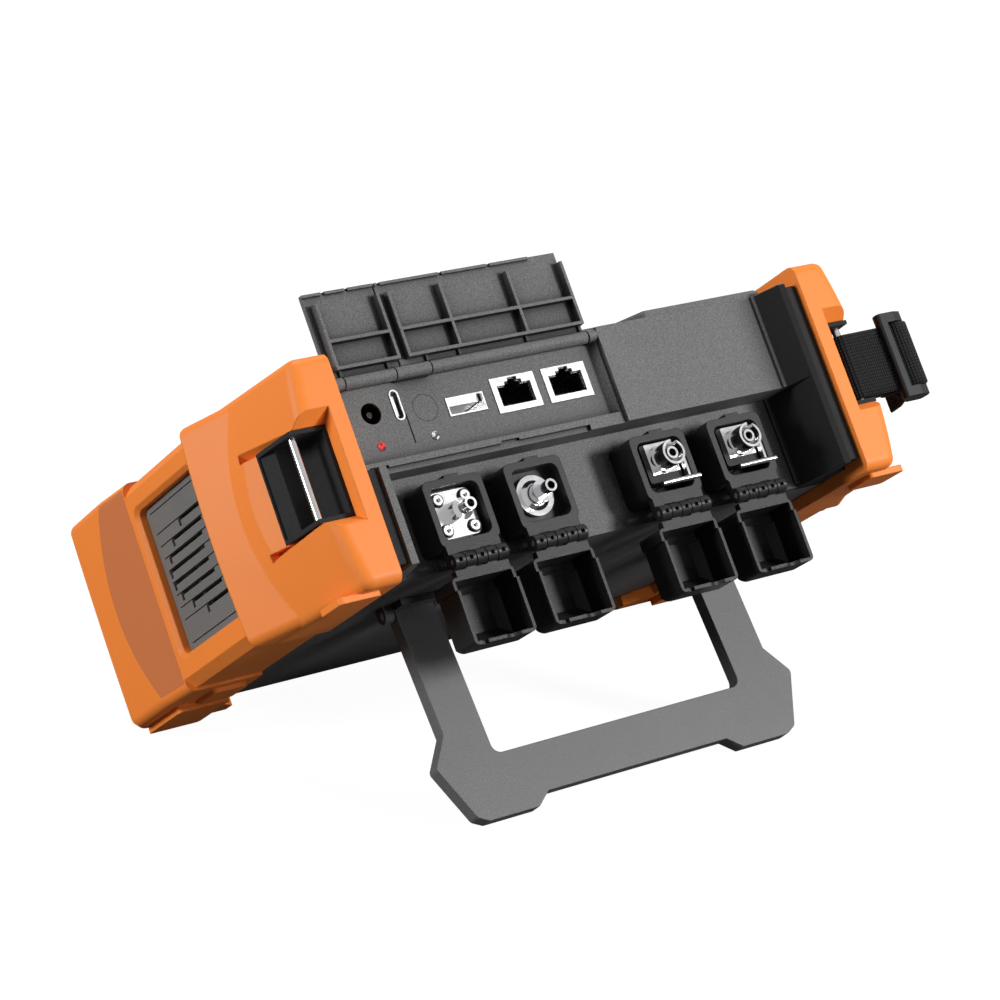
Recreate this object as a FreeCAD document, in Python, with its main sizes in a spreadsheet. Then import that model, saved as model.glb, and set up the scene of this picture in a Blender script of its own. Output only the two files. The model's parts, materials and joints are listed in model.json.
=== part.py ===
"""Handheld optical time domain reflectometer, propped on its kickstand with every cover open.

The case is drawn in its own frame: X runs along the connector side, Y from the connector panel
towards the far edge and Z out of the screen. The last step tilts all pieces together until the
stand's foot and the far pads touch the floor, and puts the origin under the middle of the part.
"""
import FreeCAD
import Part
import math
import os
import Sketcher

doc = FreeCAD.newDocument("reflectometer")
sheet = doc.addObject("Spreadsheet::Sheet", "Sizes")


class Size:
    """A number together with the sheet expression that gives it, so that sums stay bound."""

    def __init__(self, number, text):
        self.number = float(number)
        self.text = text

    def __add__(self, other):
        other = as_size(other)
        return Size(self.number + other.number, f"({self.text} + {other.text})")

    def __sub__(self, other):
        other = as_size(other)
        return Size(self.number - other.number, f"({self.text} - {other.text})")

    def __mul__(self, other):
        other = as_size(other)
        return Size(self.number * other.number, f"({self.text} * {other.text})")

    def __truediv__(self, other):
        other = as_size(other)
        return Size(self.number / other.number, f"({self.text} / {other.text})")

    def __radd__(self, other):
        return as_size(other) + self

    def __rsub__(self, other):
        return as_size(other) - self

    def __rmul__(self, other):
        return as_size(other) * self

    def __neg__(self):
        return Size(-self.number, f"(0 - {self.text})")


def as_size(value):
    if isinstance(value, Size):
        return value
    return Size(value, f"({float(value)!r})")


class Sizes:
    """Driving dimensions in millimetres and degrees, one aliased cell each."""

    def __init__(self):
        self.rows = 0

    def add(self, **cells):
        for name, number in cells.items():
            self.rows += 1
            sheet.set(f"A{self.rows}", name.replace("_", " "))
            sheet.set(f"B{self.rows}", str(number))
            sheet.setAlias(f"B{self.rows}", name)
            setattr(self, name, Size(number, f"Sizes.{name}"))


S = Sizes()

# Case
S.add(case_half=100, case_far=126, case_top=29.4, case_drop=31, seam_drop=1.4, wall=2.6,
      block_front=4.3, port_wall=7.1, ridge_half=74.2, flare_half=79.1, flare_front=12.8,
      cheek_half=81.6, cheek_back=3.8, shoulder_half=86, shoulder_back=9, ridge_rib=0.8,
      seat_gap=0.1, case_corner=6)

# Recess for the electrical sockets and its two flaps
S.add(recess_right=10.5, recess_mouth=13, lip_front=2.9, lip_top=2.3, rebate_top=0.3, flap_axis_up=27.3,
      flap_axis_front=2.3, knuckle_r=2.0, flap_pin_r=1.0, pin_play=0.06, flap_skin=1.2,
      flap_reach=28.4, flap_split=56.2, flap_gap=0.6, flap_left=80.8, flap_right=9.8,
      flap_rib=1.0, flap_rib_depth=2.6, flap_ledge=0.8, flap_neck=3.9, mid_knuckle_left=59.5,
      mid_knuckle_right=47.6, end_knuckle_left=77.6, knuckle_gap=0.4)

# Sockets in the recess panel, measured from the middle of the case
S.add(jack_x=-70.1, jack_up=17.6, jack_r=3.3, jack_wall=0.85, jack_lip=0.8, jack_depth=11,
      jack_pin_r=0.95,
      usbc_x=-60.9, usbc_up=18.6, usbc_long=9.55, usbc_wide=3.15,
      blank_x=-51.8, blank_up=16.2, blank_r=4.1,
      usba_x=-37.85, usba_up=14.85, usba_wide=13.3, usba_tall=5.7, shell_wall=0.45,
      lan_first=-19.65, lan_second=-0.8, lan_up=15.3, lan_wide=15.9, lan_tall=11.0,
      lan_frame=1.9, lan_depth=16, lan_proud=0.3,
      lamp_first=-70.3, lamp_second=-51.7, lamp_up=7.4, lamp_r=1.3,
      groove_x=-58.9, groove_wide=0.4, groove_deep=0.45, groove_low=6.4, groove_high=15.6)

# Optical ports: collar, adapter, cap
S.add(port_first=-55, port_second=-26.5, port_third=19.8, port_fourth=49.5, port_up=-16.9,
      collar_wide=20.6, collar_tall=20.2, collar_front=5.0, collar_wall=2.0,
      cap_axis_up=-31.6, cap_axis_front=5.4, cap_knuckle_r=2.3, cap_pin_r=0.9,
      hinge_long=18.6, hinge_gap=0.3, hinge_plate=2.4, knuckle_window=1.2, window_sink=0.9,
      cap_wide=21.6, cap_tall=20.4, cap_depth=14.6, cap_wall=1.1, cap_play=0.2, cap_bevel=5.0,
      neck_tall=3.8, neck_shift=0.7, notch_x=-7.2, notch_wide=2.0, scallop_x=2.8, scallop_r=3.4)
S.add(seat_shallow=0.2, seat_deep=3.4, flange_side=14.2, flange_thick=1.6, nose_r=1.95,
      ferrule_r=1.25, nose_reach=11.2, step_r=3.3, step_reach=6.2, round_flange_r=6.3,
      block_wide=12.2, block_tall=12.2, block_deep=6.4, block_lift=1.2, thread_r=3.95,
      thread_bore=3.2, thread_reach=7.4, sleeve_r=1.95, barrel_lift=1.9, barrel_shift=0.5,
      lever_reach=4.6, lever_pin_r=0.8, lever_pin_long=11.6, tail_r=3.8, adapter_tail=8)

# Bumpers
S.add(bumper_front=14, bumper_in=86.3, bumper_nose=102.3, bumper_side=108.4, bumper_out=115,
      bumper_far=131, bumper_top=34.5, bumper_drop=35, hook_in=78, nose_crown_r=150, nose_round=4,
      nose_band_x=102.9, nose_band_y=14, crown_r=480, window_near=37, window_far=78.8,
      window_up=22.5, window_down=23.7, window_bevel=1.4, recess_out=112.2, recess_far=82,
      horn_up=18.7, horn_down=15.8, slot_up=15, slot_down=13, rim_depth=5, strut=5.1,
      slot_back=5, slot_far=10, slot_scoop=17.8, scoop_x=103.4, scoop_end_x=107.3,
      pad_drop=36.7, pad_near=100, pad_far=125, pad_in=90, pad_out=108, pad_round=1.5,
      edge_round=3.2)

# Kickstand
S.add(stand_axis_y=41.1, stand_axis_drop=33.6, stand_thick=5, stand_lean=5, leg_in=47,
      leg_out=61, knee_down=40, hip_out=67.7, hip_down=49.4, toe_out=60.5, toe_down=66.6,
      foot_out=57, foot_in=39, foot_down=68.5, arch_out=34, arch_down=64.6, bar_down=49.6,
      stand_pin_r=1.3, lug_wide=3.2, lug_gap=0.3)

# Screen side
S.add(bezel_top=32.0, bezel_half=84, bezel_near=4, bezel_far=114.6, bezel_step_x=27,
      screen_half=72, screen_near=10, screen_far=99, glass_thick=1.4, key_row=107,
      key_pitch=22, key_long=15, key_wide=8, key_proud=1.0, key_play=0.25, key_travel=0.8)

# Strap and its pins
S.add(strap_pin_x=101, strap_pin_front=5, strap_pin_r=1.25, liner_wall=1.2, liner_floor=1.3, web_half=10.6,
      web_thick=1.5, web_loop=2.0, web_end=127, buckle_half=14.2, buckle_x=121.5,
      buckle_long=10.5, buckle_thick=2.4, soft_gap=0.3)

# Inner pieces
S.add(post_r=3, post_inset=8, screw_r=1.25, screw_bite=6, screw_head=1.6)
S.add(board_top=9.8, board_thick=1.6, board_near=5.5, board_far=100, board_left=-82,
      board_right=82, battery_wide=52, battery_long=72, battery_thick=18,
      module_wide=96, module_long=66, module_tall=19, door_half=30, door_near=48,
      door_far=118, door_thick=1.8, grille_thick=1.8, grille_out=8.8, grille_rim=2.3,
      slot_first_up=13.2, slot_pitch=3.92, slot_wide=1.3, slot_far_end=74.5, slot_near_end=49.5,
      slot_bow=1.3, slot_near_bow=0.6, notch_side=1.5, line_wide=0.35, line_deep=0.5, edge_line=2.4)
doc.recompute()

PIECES = {}
counter = [0]


def fresh(kind, stem):
    counter[0] += 1
    return doc.addObject(kind, f"{stem}_{counter[0]}")


def bind(feature, **properties):
    for path, value in properties.items():
        feature.setExpression(path.replace("__", "."), as_size(value).text)
    return feature


def brick(x0, x1, y0, y1, z0, z1):
    """Box between two corners."""
    box = fresh("Part::Box", "brick")
    low = [as_size(v) for v in (x0, y0, z0)]
    high = [as_size(v) for v in (x1, y1, z1)]
    bind(box, Length=high[0] - low[0], Width=high[1] - low[1], Height=high[2] - low[2],
         Placement__Base__x=low[0], Placement__Base__y=low[1], Placement__Base__z=low[2])
    return box


TURNS = {
    "x": FreeCAD.Rotation(FreeCAD.Vector(0, 1, 0), 90),
    "y": FreeCAD.Rotation(FreeCAD.Vector(1, 0, 0), -90),
    "z": FreeCAD.Rotation(),
}


def place(feature, axis, start, first, second):
    """Puts a feature's base on its axis: start along the axis, then the two other coordinates."""
    feature.Placement = FreeCAD.Placement(FreeCAD.Vector(), TURNS[axis])
    spots = {"x": (start, first, second), "y": (first, start, second), "z": (first, second, start)}
    bind(feature, Placement__Base__x=spots[axis][0], Placement__Base__y=spots[axis][1],
         Placement__Base__z=spots[axis][2])
    return feature


def rod(axis, start, end, first, second, radius):
    """Cylinder along an axis from start to end; first and second are the other coordinates."""
    bar = fresh("Part::Cylinder", "rod")
    bind(bar, Radius=radius, Height=as_size(end) - start)
    return place(bar, axis, start, first, second)


def cone(axis, start, end, first, second, radius, end_radius):
    taper = fresh("Part::Cone", "cone")
    bind(taper, Radius1=radius, Radius2=end_radius, Height=as_size(end) - start)
    return place(taper, axis, start, first, second)


SKETCH_TURNS = {
    "z": FreeCAD.Rotation(),
    "y": FreeCAD.Rotation(FreeCAD.Vector(1, 0, 0), 90),
    "x": FreeCAD.Rotation(0.5, 0.5, 0.5, 0.5),
}


def prism(axis, points, start, end):
    """Closed outline pushed along an axis. Outlines are (X, Y) for z, (X, Z) for y, (Y, Z) for x."""
    sketch = fresh("Sketcher::SketchObject", "outline")
    sketch.Placement = FreeCAD.Placement(FreeCAD.Vector(), SKETCH_TURNS[axis])
    spots = [(as_size(u), as_size(v)) for u, v in points]
    flat = [FreeCAD.Vector(u.number, v.number, 0) for u, v in spots]
    for index, spot in enumerate(flat):
        sketch.addGeometry(Part.LineSegment(spot, flat[(index + 1) % len(flat)]), False)
    for index in range(len(flat)):
        following = (index + 1) % len(flat)
        sketch.addConstraint(Sketcher.Constraint("Coincident", index, 2, following, 1))
    for index, (u, v) in enumerate(spots):
        for kind, value in (("DistanceX", u), ("DistanceY", v)):
            row = sketch.addConstraint(
                Sketcher.Constraint(kind, -1, 1, index, 1, value.number))
            sketch.setExpression(f"Constraints[{row}]", value.text)
    solid = fresh("Part::Extrusion", "prism")
    solid.Base = sketch
    solid.DirMode = "Custom"
    solid.Dir = {"x": (1, 0, 0), "y": (0, 1, 0), "z": (0, 0, 1)}[axis]
    solid.Solid = True
    bind(solid, LengthFwd=as_size(end), LengthRev=-as_size(start))
    return solid


def fuse(*parts):
    joined = fresh("Part::MultiFuse", "joined")
    joined.Shapes = list(parts)
    joined.Refine = True
    return joined


def common(*parts):
    shared = fresh("Part::MultiCommon", "shared")
    shared.Shapes = list(parts)
    return shared


def cut(base, *tools):
    carved = fresh("Part::Cut", "carved")
    carved.Base = base
    carved.Tool = tools[0] if len(tools) == 1 else fuse(*tools)
    carved.Refine = True
    return carved


def mirrored(source):
    """The same piece on the other side of the case."""
    twin = fresh("Part::Mirroring", "mirrored")
    twin.Source = source
    twin.Base = (0, 0, 0)
    twin.Normal = (1, 0, 0)
    return twin


def dressed(kind, base, radius, choose):
    """Fillet or Chamfer on the edges of base that choose picks by their middle and direction."""
    doc.recompute()
    edges = []
    for index, edge in enumerate(base.Shape.Edges):
        middle = edge.valueAt((edge.FirstParameter + edge.LastParameter) / 2)
        ends = [v.Point for v in edge.Vertexes]
        run = (ends[-1] - ends[0]) if len(ends) > 1 else FreeCAD.Vector()
        if run.Length > 0:
            run = run.normalize()
        if choose(middle, run, edge):
            edges.append((index + 1, radius.number, radius.number))
    feature = fresh(f"Part::{kind}", kind.lower())
    feature.Base = base
    feature.Edges = edges
    return feature


def keep(label, *features):
    """Registers the solid, or the separate solids, of one node."""
    source = features[0]
    if len(features) > 1:
        source = fresh("Part::Compound", "group")
        source.Links = list(features)
        node = doc.addObject("Part::Compound", label)
        node.Links = [source]
    else:
        node = doc.addObject("Part::Refine", label)
        node.Source = source
    node.Label = label
    PIECES[label] = node
    return node


def along(run, axis):
    return abs(abs(getattr(run, axis)) - 1) < 1e-3


EAR = 4.0       # overshoot of a cutting tool past the faces it opens, only has to clear them


def case_outline(front):
    """Half outline of the case seen from the screen, mirrored to a full one."""
    right = [(S.ridge_half, front), (S.flare_half, -S.flare_front), (S.cheek_half, -S.flare_front),
             (S.cheek_half, -S.cheek_back), (S.shoulder_half, -S.cheek_back),
             (S.shoulder_half, S.shoulder_back), (S.case_half, S.shoulder_back),
             (S.case_half, S.case_far - S.case_corner), (S.case_half - S.case_corner, S.case_far)]
    left = [(-x, y) for x, y in reversed(right)]
    return right + left


def cavity(low, high):
    """Inside of the case between two heights, one wall in from the outer faces."""
    inner = [(S.shoulder_half - S.wall, S.port_wall + S.wall),
             (S.shoulder_half - S.wall, S.shoulder_back + S.wall),
             (S.case_half - S.wall, S.shoulder_back + S.wall),
             (S.case_half - S.wall, S.case_far - S.case_corner),
             (S.case_half - S.case_corner, S.case_far - S.wall)]
    outline = inner + [(-x, y) for x, y in reversed(inner)]
    return prism("z", outline, low, high)


def make_front_housing():
    shell = prism("z", case_outline(-S.block_front), -S.seam_drop, S.case_top)
    hollow = cavity(-S.seam_drop - EAR, S.case_top - S.wall)
    nook = brick(-S.cheek_half + S.wall, S.cheek_half - S.wall, S.wall, S.port_wall + S.wall + EAR,
                 -S.seam_drop + S.wall, S.case_top - S.wall)
    recess = prism("z", [(-S.cheek_half - EAR, -S.flare_front - EAR),
                         (S.recess_mouth + 2 * EAR, -S.flare_front - EAR),
                         (S.recess_mouth, -S.block_front), (S.recess_right, 0),
                         (-S.shoulder_half, 0), (-S.shoulder_half, -S.cheek_back),
                         (-S.cheek_half - EAR, -S.cheek_back)],
                   S.lip_top, S.case_top + EAR)
    lip = brick(-S.cheek_half - EAR, S.recess_mouth, -S.flare_front - EAR, -S.lip_front,
                -S.seam_drop - EAR, S.case_top)
    rebate = brick(-S.cheek_half - EAR, -S.flap_split + 56, -S.lip_front - EAR, -S.lip_front + 1.2,
                   -S.seam_drop - EAR, S.rebate_top)
    latch = [brick(x - 3.2, x + 3.2, -S.lip_front - EAR, -S.lip_front + 1.2, -S.seam_drop - EAR,
                   S.rebate_top + 0.7)
             for x in (-S.flap_split - 19, -S.flap_split + 27)]
    left = brick(-S.shoulder_half, -S.end_knuckle_left, -S.flap_axis_front, S.wall,
                 S.flap_axis_up - S.knuckle_r, S.flap_axis_up + S.knuckle_r)
    spans = [(-S.cheek_half, -S.end_knuckle_left), (-S.mid_knuckle_left, -S.mid_knuckle_right),
             (S.flap_right + 0.2, S.recess_mouth)]
    knuckles = []
    for low, high in spans:
        knuckles.append(rod("x", low, high, -S.flap_axis_front, S.flap_axis_up, S.knuckle_r))
        knuckles.append(brick(low, high, -S.flap_axis_front, 1.0, S.flap_axis_up - S.knuckle_r,
                              S.flap_axis_up + S.knuckle_r))
    bore = rod("x", -S.cheek_half - EAR, S.recess_mouth - 0.8, -S.flap_axis_front,
               S.flap_axis_up, S.flap_pin_r)
    ribs = [brick(side * S.ridge_half - S.ridge_rib, side * S.ridge_half + S.ridge_rib,
                  -S.block_front - S.ridge_rib, -S.block_front + 1, -S.seam_drop, S.case_top)
            for side in (1,)]
    posts = [rod("z", S.board_top, S.case_top - S.wall / 2, x, y, S.post_r) for x, y in post_places()]
    pilots = [rod("z", S.board_top - EAR, S.board_top + S.screw_bite + 1, x, y, S.screw_r + 0.05)
              for x, y in post_places()]
    screen_hole = brick(-S.screen_half + 6, S.screen_half - 6, S.screen_near + 6, S.screen_far - 6,
                        S.case_top - 2 * S.wall, S.case_top + EAR)
    key_holes = [brick(x - S.key_long / 2 + 2, x + S.key_long / 2 - 2, S.key_row - S.key_wide / 2 + 1.5,
                       S.key_row + S.key_wide / 2 - 1.5, S.case_top - 2 * S.wall, S.case_top + EAR)
                 for x in key_places()]
    body = cut(shell, hollow, nook, recess, lip, rebate, *latch)
    body = fuse(body, *knuckles, *ribs, *posts)
    return cut(body, bore, screen_hole, *key_holes, *pilots, *panel_holes(-EAR, S.wall + EAR))


def post_places():
    """Middles of the four posts that the main board is screwed to."""
    return [(x, y) for x in (S.board_left + S.post_inset, S.board_right - S.post_inset)
            for y in (S.board_near + 2 * S.post_inset, S.board_far - S.post_inset)]


def key_places():
    return [S.key_pitch * step for step in (-2, -1, 0, 1, 2)]


def panel_holes(near, far):
    """Cut-outs of the recess panel for its sockets."""
    play = S.seat_gap
    holes = [brick(S.groove_x - S.groove_wide / 2, S.groove_x + S.groove_wide / 2, near, S.groove_deep,
                   S.groove_low, S.groove_high),
             rod("y", near, far, S.jack_x, S.jack_up, S.jack_r),
             rod("y", S.jack_lip, far, S.jack_x, S.jack_up, S.jack_r + S.jack_wall + S.seat_gap / 2),
             rod("y", near, far, S.blank_x, S.blank_up, S.blank_r + play),
             rod("y", near, far, S.lamp_first, S.lamp_up, S.lamp_r + play / 2),
             rod("y", near, far, S.lamp_second, S.lamp_up, S.lamp_r + play / 2),
             slot_prism(near, far, play),
             brick(S.usba_x - S.usba_wide / 2 - play, S.usba_x + S.usba_wide / 2 + play, near, far,
                   S.usba_up - S.usba_tall / 2 - play, S.usba_up + S.usba_tall / 2 + play)]
    for middle in (S.lan_first, S.lan_second):
        holes.append(brick(middle - S.lan_wide / 2 - play, middle + S.lan_wide / 2 + play, near, far,
                           S.lan_up - S.lan_tall / 2 - play, S.lan_up + S.lan_tall / 2 + play))
    return holes


def slot_prism(near, far, grow):
    """Upright rounded slot of the small reversible socket."""
    half = S.usbc_wide / 2 + grow
    reach = S.usbc_long / 2 - S.usbc_wide / 2
    return fuse(brick(S.usbc_x - half, S.usbc_x + half, near, far, S.usbc_up - reach, S.usbc_up + reach),
                rod("y", near, far, S.usbc_x, S.usbc_up - reach, half),
                rod("y", near, far, S.usbc_x, S.usbc_up + reach, half))


def make_rear_housing():
    shell = prism("z", case_outline(S.port_wall), -S.case_drop, -S.seam_drop)
    rounded = dressed("Fillet", shell, Size(2.0, "2"),
                      lambda mid, run, edge: abs(mid.z + S.case_drop.number) < 1e-3
                      and abs(mid.x) < S.hook_in.number and mid.y > S.case_far.number - 1)
    hollow = cavity(-S.case_drop + S.wall, -S.seam_drop + EAR)
    door = brick(-S.door_half, S.door_half, S.door_near, S.door_far, -S.case_drop - EAR,
                 -S.case_drop + S.door_thick + S.seat_gap)
    ribs = [brick(side * S.ridge_half - S.ridge_rib, side * S.ridge_half + S.ridge_rib,
                  S.port_wall - S.ridge_rib, S.port_wall + 1, -S.case_drop + 1, -S.seam_drop)
            for side in (-1, 1)]
    lugs = []
    for side in (-1, 1):
        for inner in (S.leg_in - S.lug_gap - S.lug_wide, S.leg_out + S.lug_gap):
            a = side * inner
            b = side * (inner + S.lug_wide)
            low, high = (a, b) if side > 0 else (b, a)
            lugs.append(rod("x", low, high, S.stand_axis_y, -S.stand_axis_drop, S.stand_thick / 2))
            lugs.append(brick(low, high, S.stand_axis_y - S.stand_thick / 2,
                              S.stand_axis_y + S.stand_thick / 2, -S.stand_axis_drop,
                              -S.case_drop + 0.5))
    pin_holes = [rod("x", side * S.leg_out - 22 * (1 + side) / 2 - 0, side * S.leg_out + 22,
                     S.stand_axis_y, -S.stand_axis_drop, S.stand_pin_r) for side in ()]
    port_holes = [rod("y", S.port_wall - EAR, S.port_wall + S.wall + EAR, middle, S.port_up,
                      S.tail_r + S.seat_gap)
                  for middle in port_places()]
    stops = [brick(side * S.leg_in if side > 0 else -S.leg_out,
                   S.leg_out if side > 0 else -S.leg_in,
                   S.stand_axis_y - S.stand_thick / 2 - 5.2, S.stand_axis_y - S.stand_thick / 2 - 0.3,
                   -S.stand_axis_drop + 0.6, -S.case_drop + 0.5) for side in (-1, 1)]
    body = cut(rounded, hollow, door)
    body = fuse(body, *ribs, *lugs, *stops)
    return cut(body, *stand_bores(S.stand_pin_r), *port_holes, *pin_holes)


def stand_bores(radius):
    low = S.leg_in - S.lug_gap - S.lug_wide
    high = S.leg_out + S.lug_gap + S.lug_wide
    return [rod("x", low - 1, high + 1, S.stand_axis_y, -S.stand_axis_drop, radius),
            rod("x", -high - 1, -low + 1, S.stand_axis_y, -S.stand_axis_drop, radius)]


def port_places():
    return [S.port_first, S.port_second, S.port_third, S.port_fourth]


keep("front_housing", make_front_housing())
keep("rear_housing", make_rear_housing())


def flap(label, left, right, barrel_left, barrel_right, uprights, ledge_right, ledge_notches):
    """Cover for the sockets, drawn swung open: it stands up from its hinge, ribs to the front."""
    axis_y = -S.flap_axis_front
    back = axis_y + S.knuckle_r
    skin_front = back - S.flap_skin
    rib_front = skin_front - S.flap_rib_depth
    root = S.flap_axis_up + S.flap_neck
    tip = S.flap_axis_up + S.flap_reach
    rim = 2 * S.flap_axis_up - S.lip_top - S.knuckle_gap
    shoulder = S.flap_axis_up + S.knuckle_r + S.knuckle_gap
    parts = [brick(left, right, skin_front, back, shoulder, tip),
             brick(barrel_left, barrel_right, skin_front, back, S.flap_axis_up, shoulder + 1),
             rod("x", barrel_left, barrel_right, axis_y, S.flap_axis_up, S.knuckle_r),
             brick(left, ledge_right, skin_front - S.flap_ledge, skin_front + 0.2, tip - 0.9, tip)]
    inner_left = left + 2.2
    inner_right = right
    parts.append(brick(inner_left, inner_right, rib_front, skin_front + 0.2, root, root + S.flap_rib))
    parts.append(brick(inner_left, inner_right, rib_front, skin_front + 0.2, tip - 16.2,
                       tip - 16.2 + S.flap_rib))
    for x in [inner_left, inner_right - S.flap_rib] + uprights:
        parts.append(brick(x, x + S.flap_rib, rib_front, skin_front + 0.2, root, rim))
    for x in [barrel_left, barrel_right - S.flap_rib] + uprights:
        parts.append(brick(x, x + S.flap_rib, axis_y, skin_front + 0.2, S.flap_axis_up, root + 0.5))
    notches = [brick(x - 0.6, x + 0.6, skin_front - S.flap_ledge - 1, skin_front, tip - 1.4, tip + 1)
               for x in ledge_notches]
    solid = cut(fuse(*parts), *notches)
    bore = rod("x", left - 8, right + 8, axis_y, S.flap_axis_up, S.flap_pin_r + S.pin_play)
    return keep(label, cut(solid, bore))


flap("small_flap", -S.flap_left, -S.flap_split - S.flap_gap / 2,
     -S.end_knuckle_left + S.knuckle_gap, -S.mid_knuckle_left - S.knuckle_gap, [],
     -S.flap_split - S.flap_gap / 2,
     [-S.flap_split - 17.5, -S.flap_split - 9.5])
flap("large_flap", -S.flap_split + S.flap_gap / 2, S.flap_right,
     -S.mid_knuckle_right + S.knuckle_gap, S.flap_right - S.knuckle_gap,
     [-S.flap_split + 20.5, -S.flap_split + 45], -S.flap_split + 55.6,
     [-S.flap_split + 1.6, -S.flap_split + 23.5, -S.flap_split + 41])
keep("flap_hinge_pin", rod("x", -S.cheek_half + 0.4, S.recess_mouth - 0.9, -S.flap_axis_front,
                           S.flap_axis_up, S.flap_pin_r))


def make_sockets():
    """The electrical sockets, each a shell that passes through the recess panel."""
    body = rod("y", S.jack_lip + S.seat_gap / 2, S.jack_depth, S.jack_x, S.jack_up, S.jack_r + S.jack_wall)
    mouth = rod("y", -EAR, S.jack_depth - 1.5, S.jack_x, S.jack_up, S.jack_r)
    pin = rod("y", 1.2, S.jack_depth - 1, S.jack_x, S.jack_up, S.jack_pin_r)
    seat = brick(S.jack_x - 4, S.jack_x + 4, S.wall + 0.1, S.jack_depth, S.board_top, S.jack_up - S.jack_r)
    keep("dc_jack", fuse(cut(body, mouth), pin, cut(seat, mouth)))

    shell = slot_prism(-S.lan_proud, 9, Size(0, "0"))
    hole = slot_prism(-EAR, 8, -S.shell_wall)
    tongue = brick(S.usbc_x - 0.35, S.usbc_x + 0.35, 1.0, 8.5, S.usbc_up - 3.1, S.usbc_up + 3.1)
    foot = brick(S.usbc_x - 1.4, S.usbc_x + 1.4, S.wall + 0.2, 9, S.board_top,
                 S.usbc_up - S.usbc_long / 2 + 0.4)
    keep("usb_c_socket", fuse(cut(shell, hole), tongue, foot))

    half_w = S.usba_wide / 2
    half_t = S.usba_tall / 2
    shell = brick(S.usba_x - half_w, S.usba_x + half_w, -S.lan_proud, 14,
                  S.usba_up - half_t, S.usba_up + half_t)
    hole = brick(S.usba_x - half_w + S.shell_wall, S.usba_x + half_w - S.shell_wall, -EAR, 13,
                 S.usba_up - half_t + S.shell_wall, S.usba_up + half_t - S.shell_wall)
    tongue = brick(S.usba_x - half_w + 1, S.usba_x + half_w - 1, 1.5, 13.5,
                   S.usba_up + half_t - 2.3, S.usba_up + half_t - 0.4)
    foot = brick(S.usba_x - half_w + 1, S.usba_x + half_w - 1, S.wall + 0.2, 14, S.board_top,
                 S.usba_up - half_t + 0.2)
    keep("usb_a_socket", fuse(cut(shell, hole), tongue, foot))

    jacks = []
    for middle in (S.lan_first, S.lan_second):
        low = S.lan_up - S.lan_tall / 2
        high = S.lan_up + S.lan_tall / 2
        shell = brick(middle - S.lan_wide / 2, middle + S.lan_wide / 2, -S.lan_proud, S.lan_depth, low, high)
        port = brick(middle - S.lan_wide / 2 + S.lan_frame, middle + S.lan_wide / 2 - S.lan_frame,
                     -EAR, S.lan_depth - 1.6, low + S.lan_frame, high - 2.6)
        latch = brick(middle - 3.1, middle + 3.1, -EAR, S.lan_depth - 1.6, high - 2.7, high - 1.5)
        tab = brick(middle - 1.7, middle + 1.7, -EAR, S.lan_depth - 4, high - 1.6, high - 0.5)
        jacks.append(cut(shell, port, latch, tab))
    keep("network_sockets", *jacks)

    keep("blanking_plug", fuse(rod("y", 0, S.wall, S.blank_x, S.blank_up, S.blank_r),
                               rod("y", S.wall, S.wall + 1.2, S.blank_x, S.blank_up, S.blank_r + 0.8)))
    for label, x in (("charge_lamp", S.lamp_first), ("status_lamp", S.lamp_second)):
        keep(label, fuse(rod("y", -0.2, S.wall + 1.5, x, S.lamp_up, S.lamp_r),
                         rod("y", S.wall + 0.1, S.wall + 2.6, x, S.lamp_up, S.lamp_r + 0.5)))


make_sockets()


def port_seats():
    """How far in front of the case each adapter sits on the floor of its collar."""
    return [S.seat_shallow, S.seat_shallow, S.seat_deep, S.seat_deep]


def make_port(number, middle, seat):
    """Collar round one optical port, with a floor for its adapter and its half of the hinge."""
    half = S.collar_wide / 2
    low = S.port_up - S.collar_tall / 2
    high = S.port_up + S.collar_tall / 2
    block = brick(middle - half, middle + half, -S.collar_front, S.port_wall, low, high)
    block = dressed("Fillet", block, Size(2.2, "2.2"), lambda mid, run, edge: along(run, "y"))
    opening = brick(middle - half + S.collar_wall, middle + half - S.collar_wall,
                    -S.collar_front - EAR, seat, low + 1.7, high - 2.2)
    opening = dressed("Fillet", opening, Size(2.5, "2.5"), lambda mid, run, edge: along(run, "y"))
    hood = brick(middle - 2, middle + 3, -S.collar_front, S.port_wall, high - 0.5, high + 0.9)
    knuckle = S.hinge_long / 5
    left = middle - S.hinge_long / 2
    parts = []
    bridges = []
    for index in (0, 2, 4):
        a = left + knuckle * index + (0.15 if index else 0)
        b = left + knuckle * (index + 1) - (0.15 if index < 4 else 0)
        parts.append(rod("x", a, b, -S.cap_axis_front, S.cap_axis_up, S.cap_knuckle_r))
        bridges.append(brick(a, b, -S.collar_front, -S.collar_front + S.hinge_plate, S.cap_axis_up, low + 1))
    bridges.append(brick(left, left + S.hinge_long, -S.collar_front, -S.collar_front + S.hinge_plate,
                         S.cap_axis_up + S.cap_knuckle_r + S.hinge_gap, low + 1))
    tail = rod("y", seat - EAR, S.port_wall + EAR, middle, S.port_up, S.tail_r + S.seat_gap)
    solid = fuse(cut(block, opening, tail), hood, *parts, *bridges)
    bore = rod("x", left - 1, left + S.hinge_long + 1, -S.cap_axis_front, S.cap_axis_up, S.cap_pin_r)
    keep(f"port_collar_{number}", cut(solid, bore, *knuckle_windows(middle, (0, 2, 4))))


def knuckle_windows(middle, turns):
    """Small square windows moulded into the front of the hinge knuckles."""
    half = S.knuckle_window / 2
    front = -S.cap_axis_front - S.cap_knuckle_r
    places = [middle + (turn - 2) * S.hinge_long / 5 for turn in turns]
    return [brick(x - half, x + half, front - EAR, front + S.window_sink, S.cap_axis_up - half,
                  S.cap_axis_up + half) for x in places]


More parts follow.
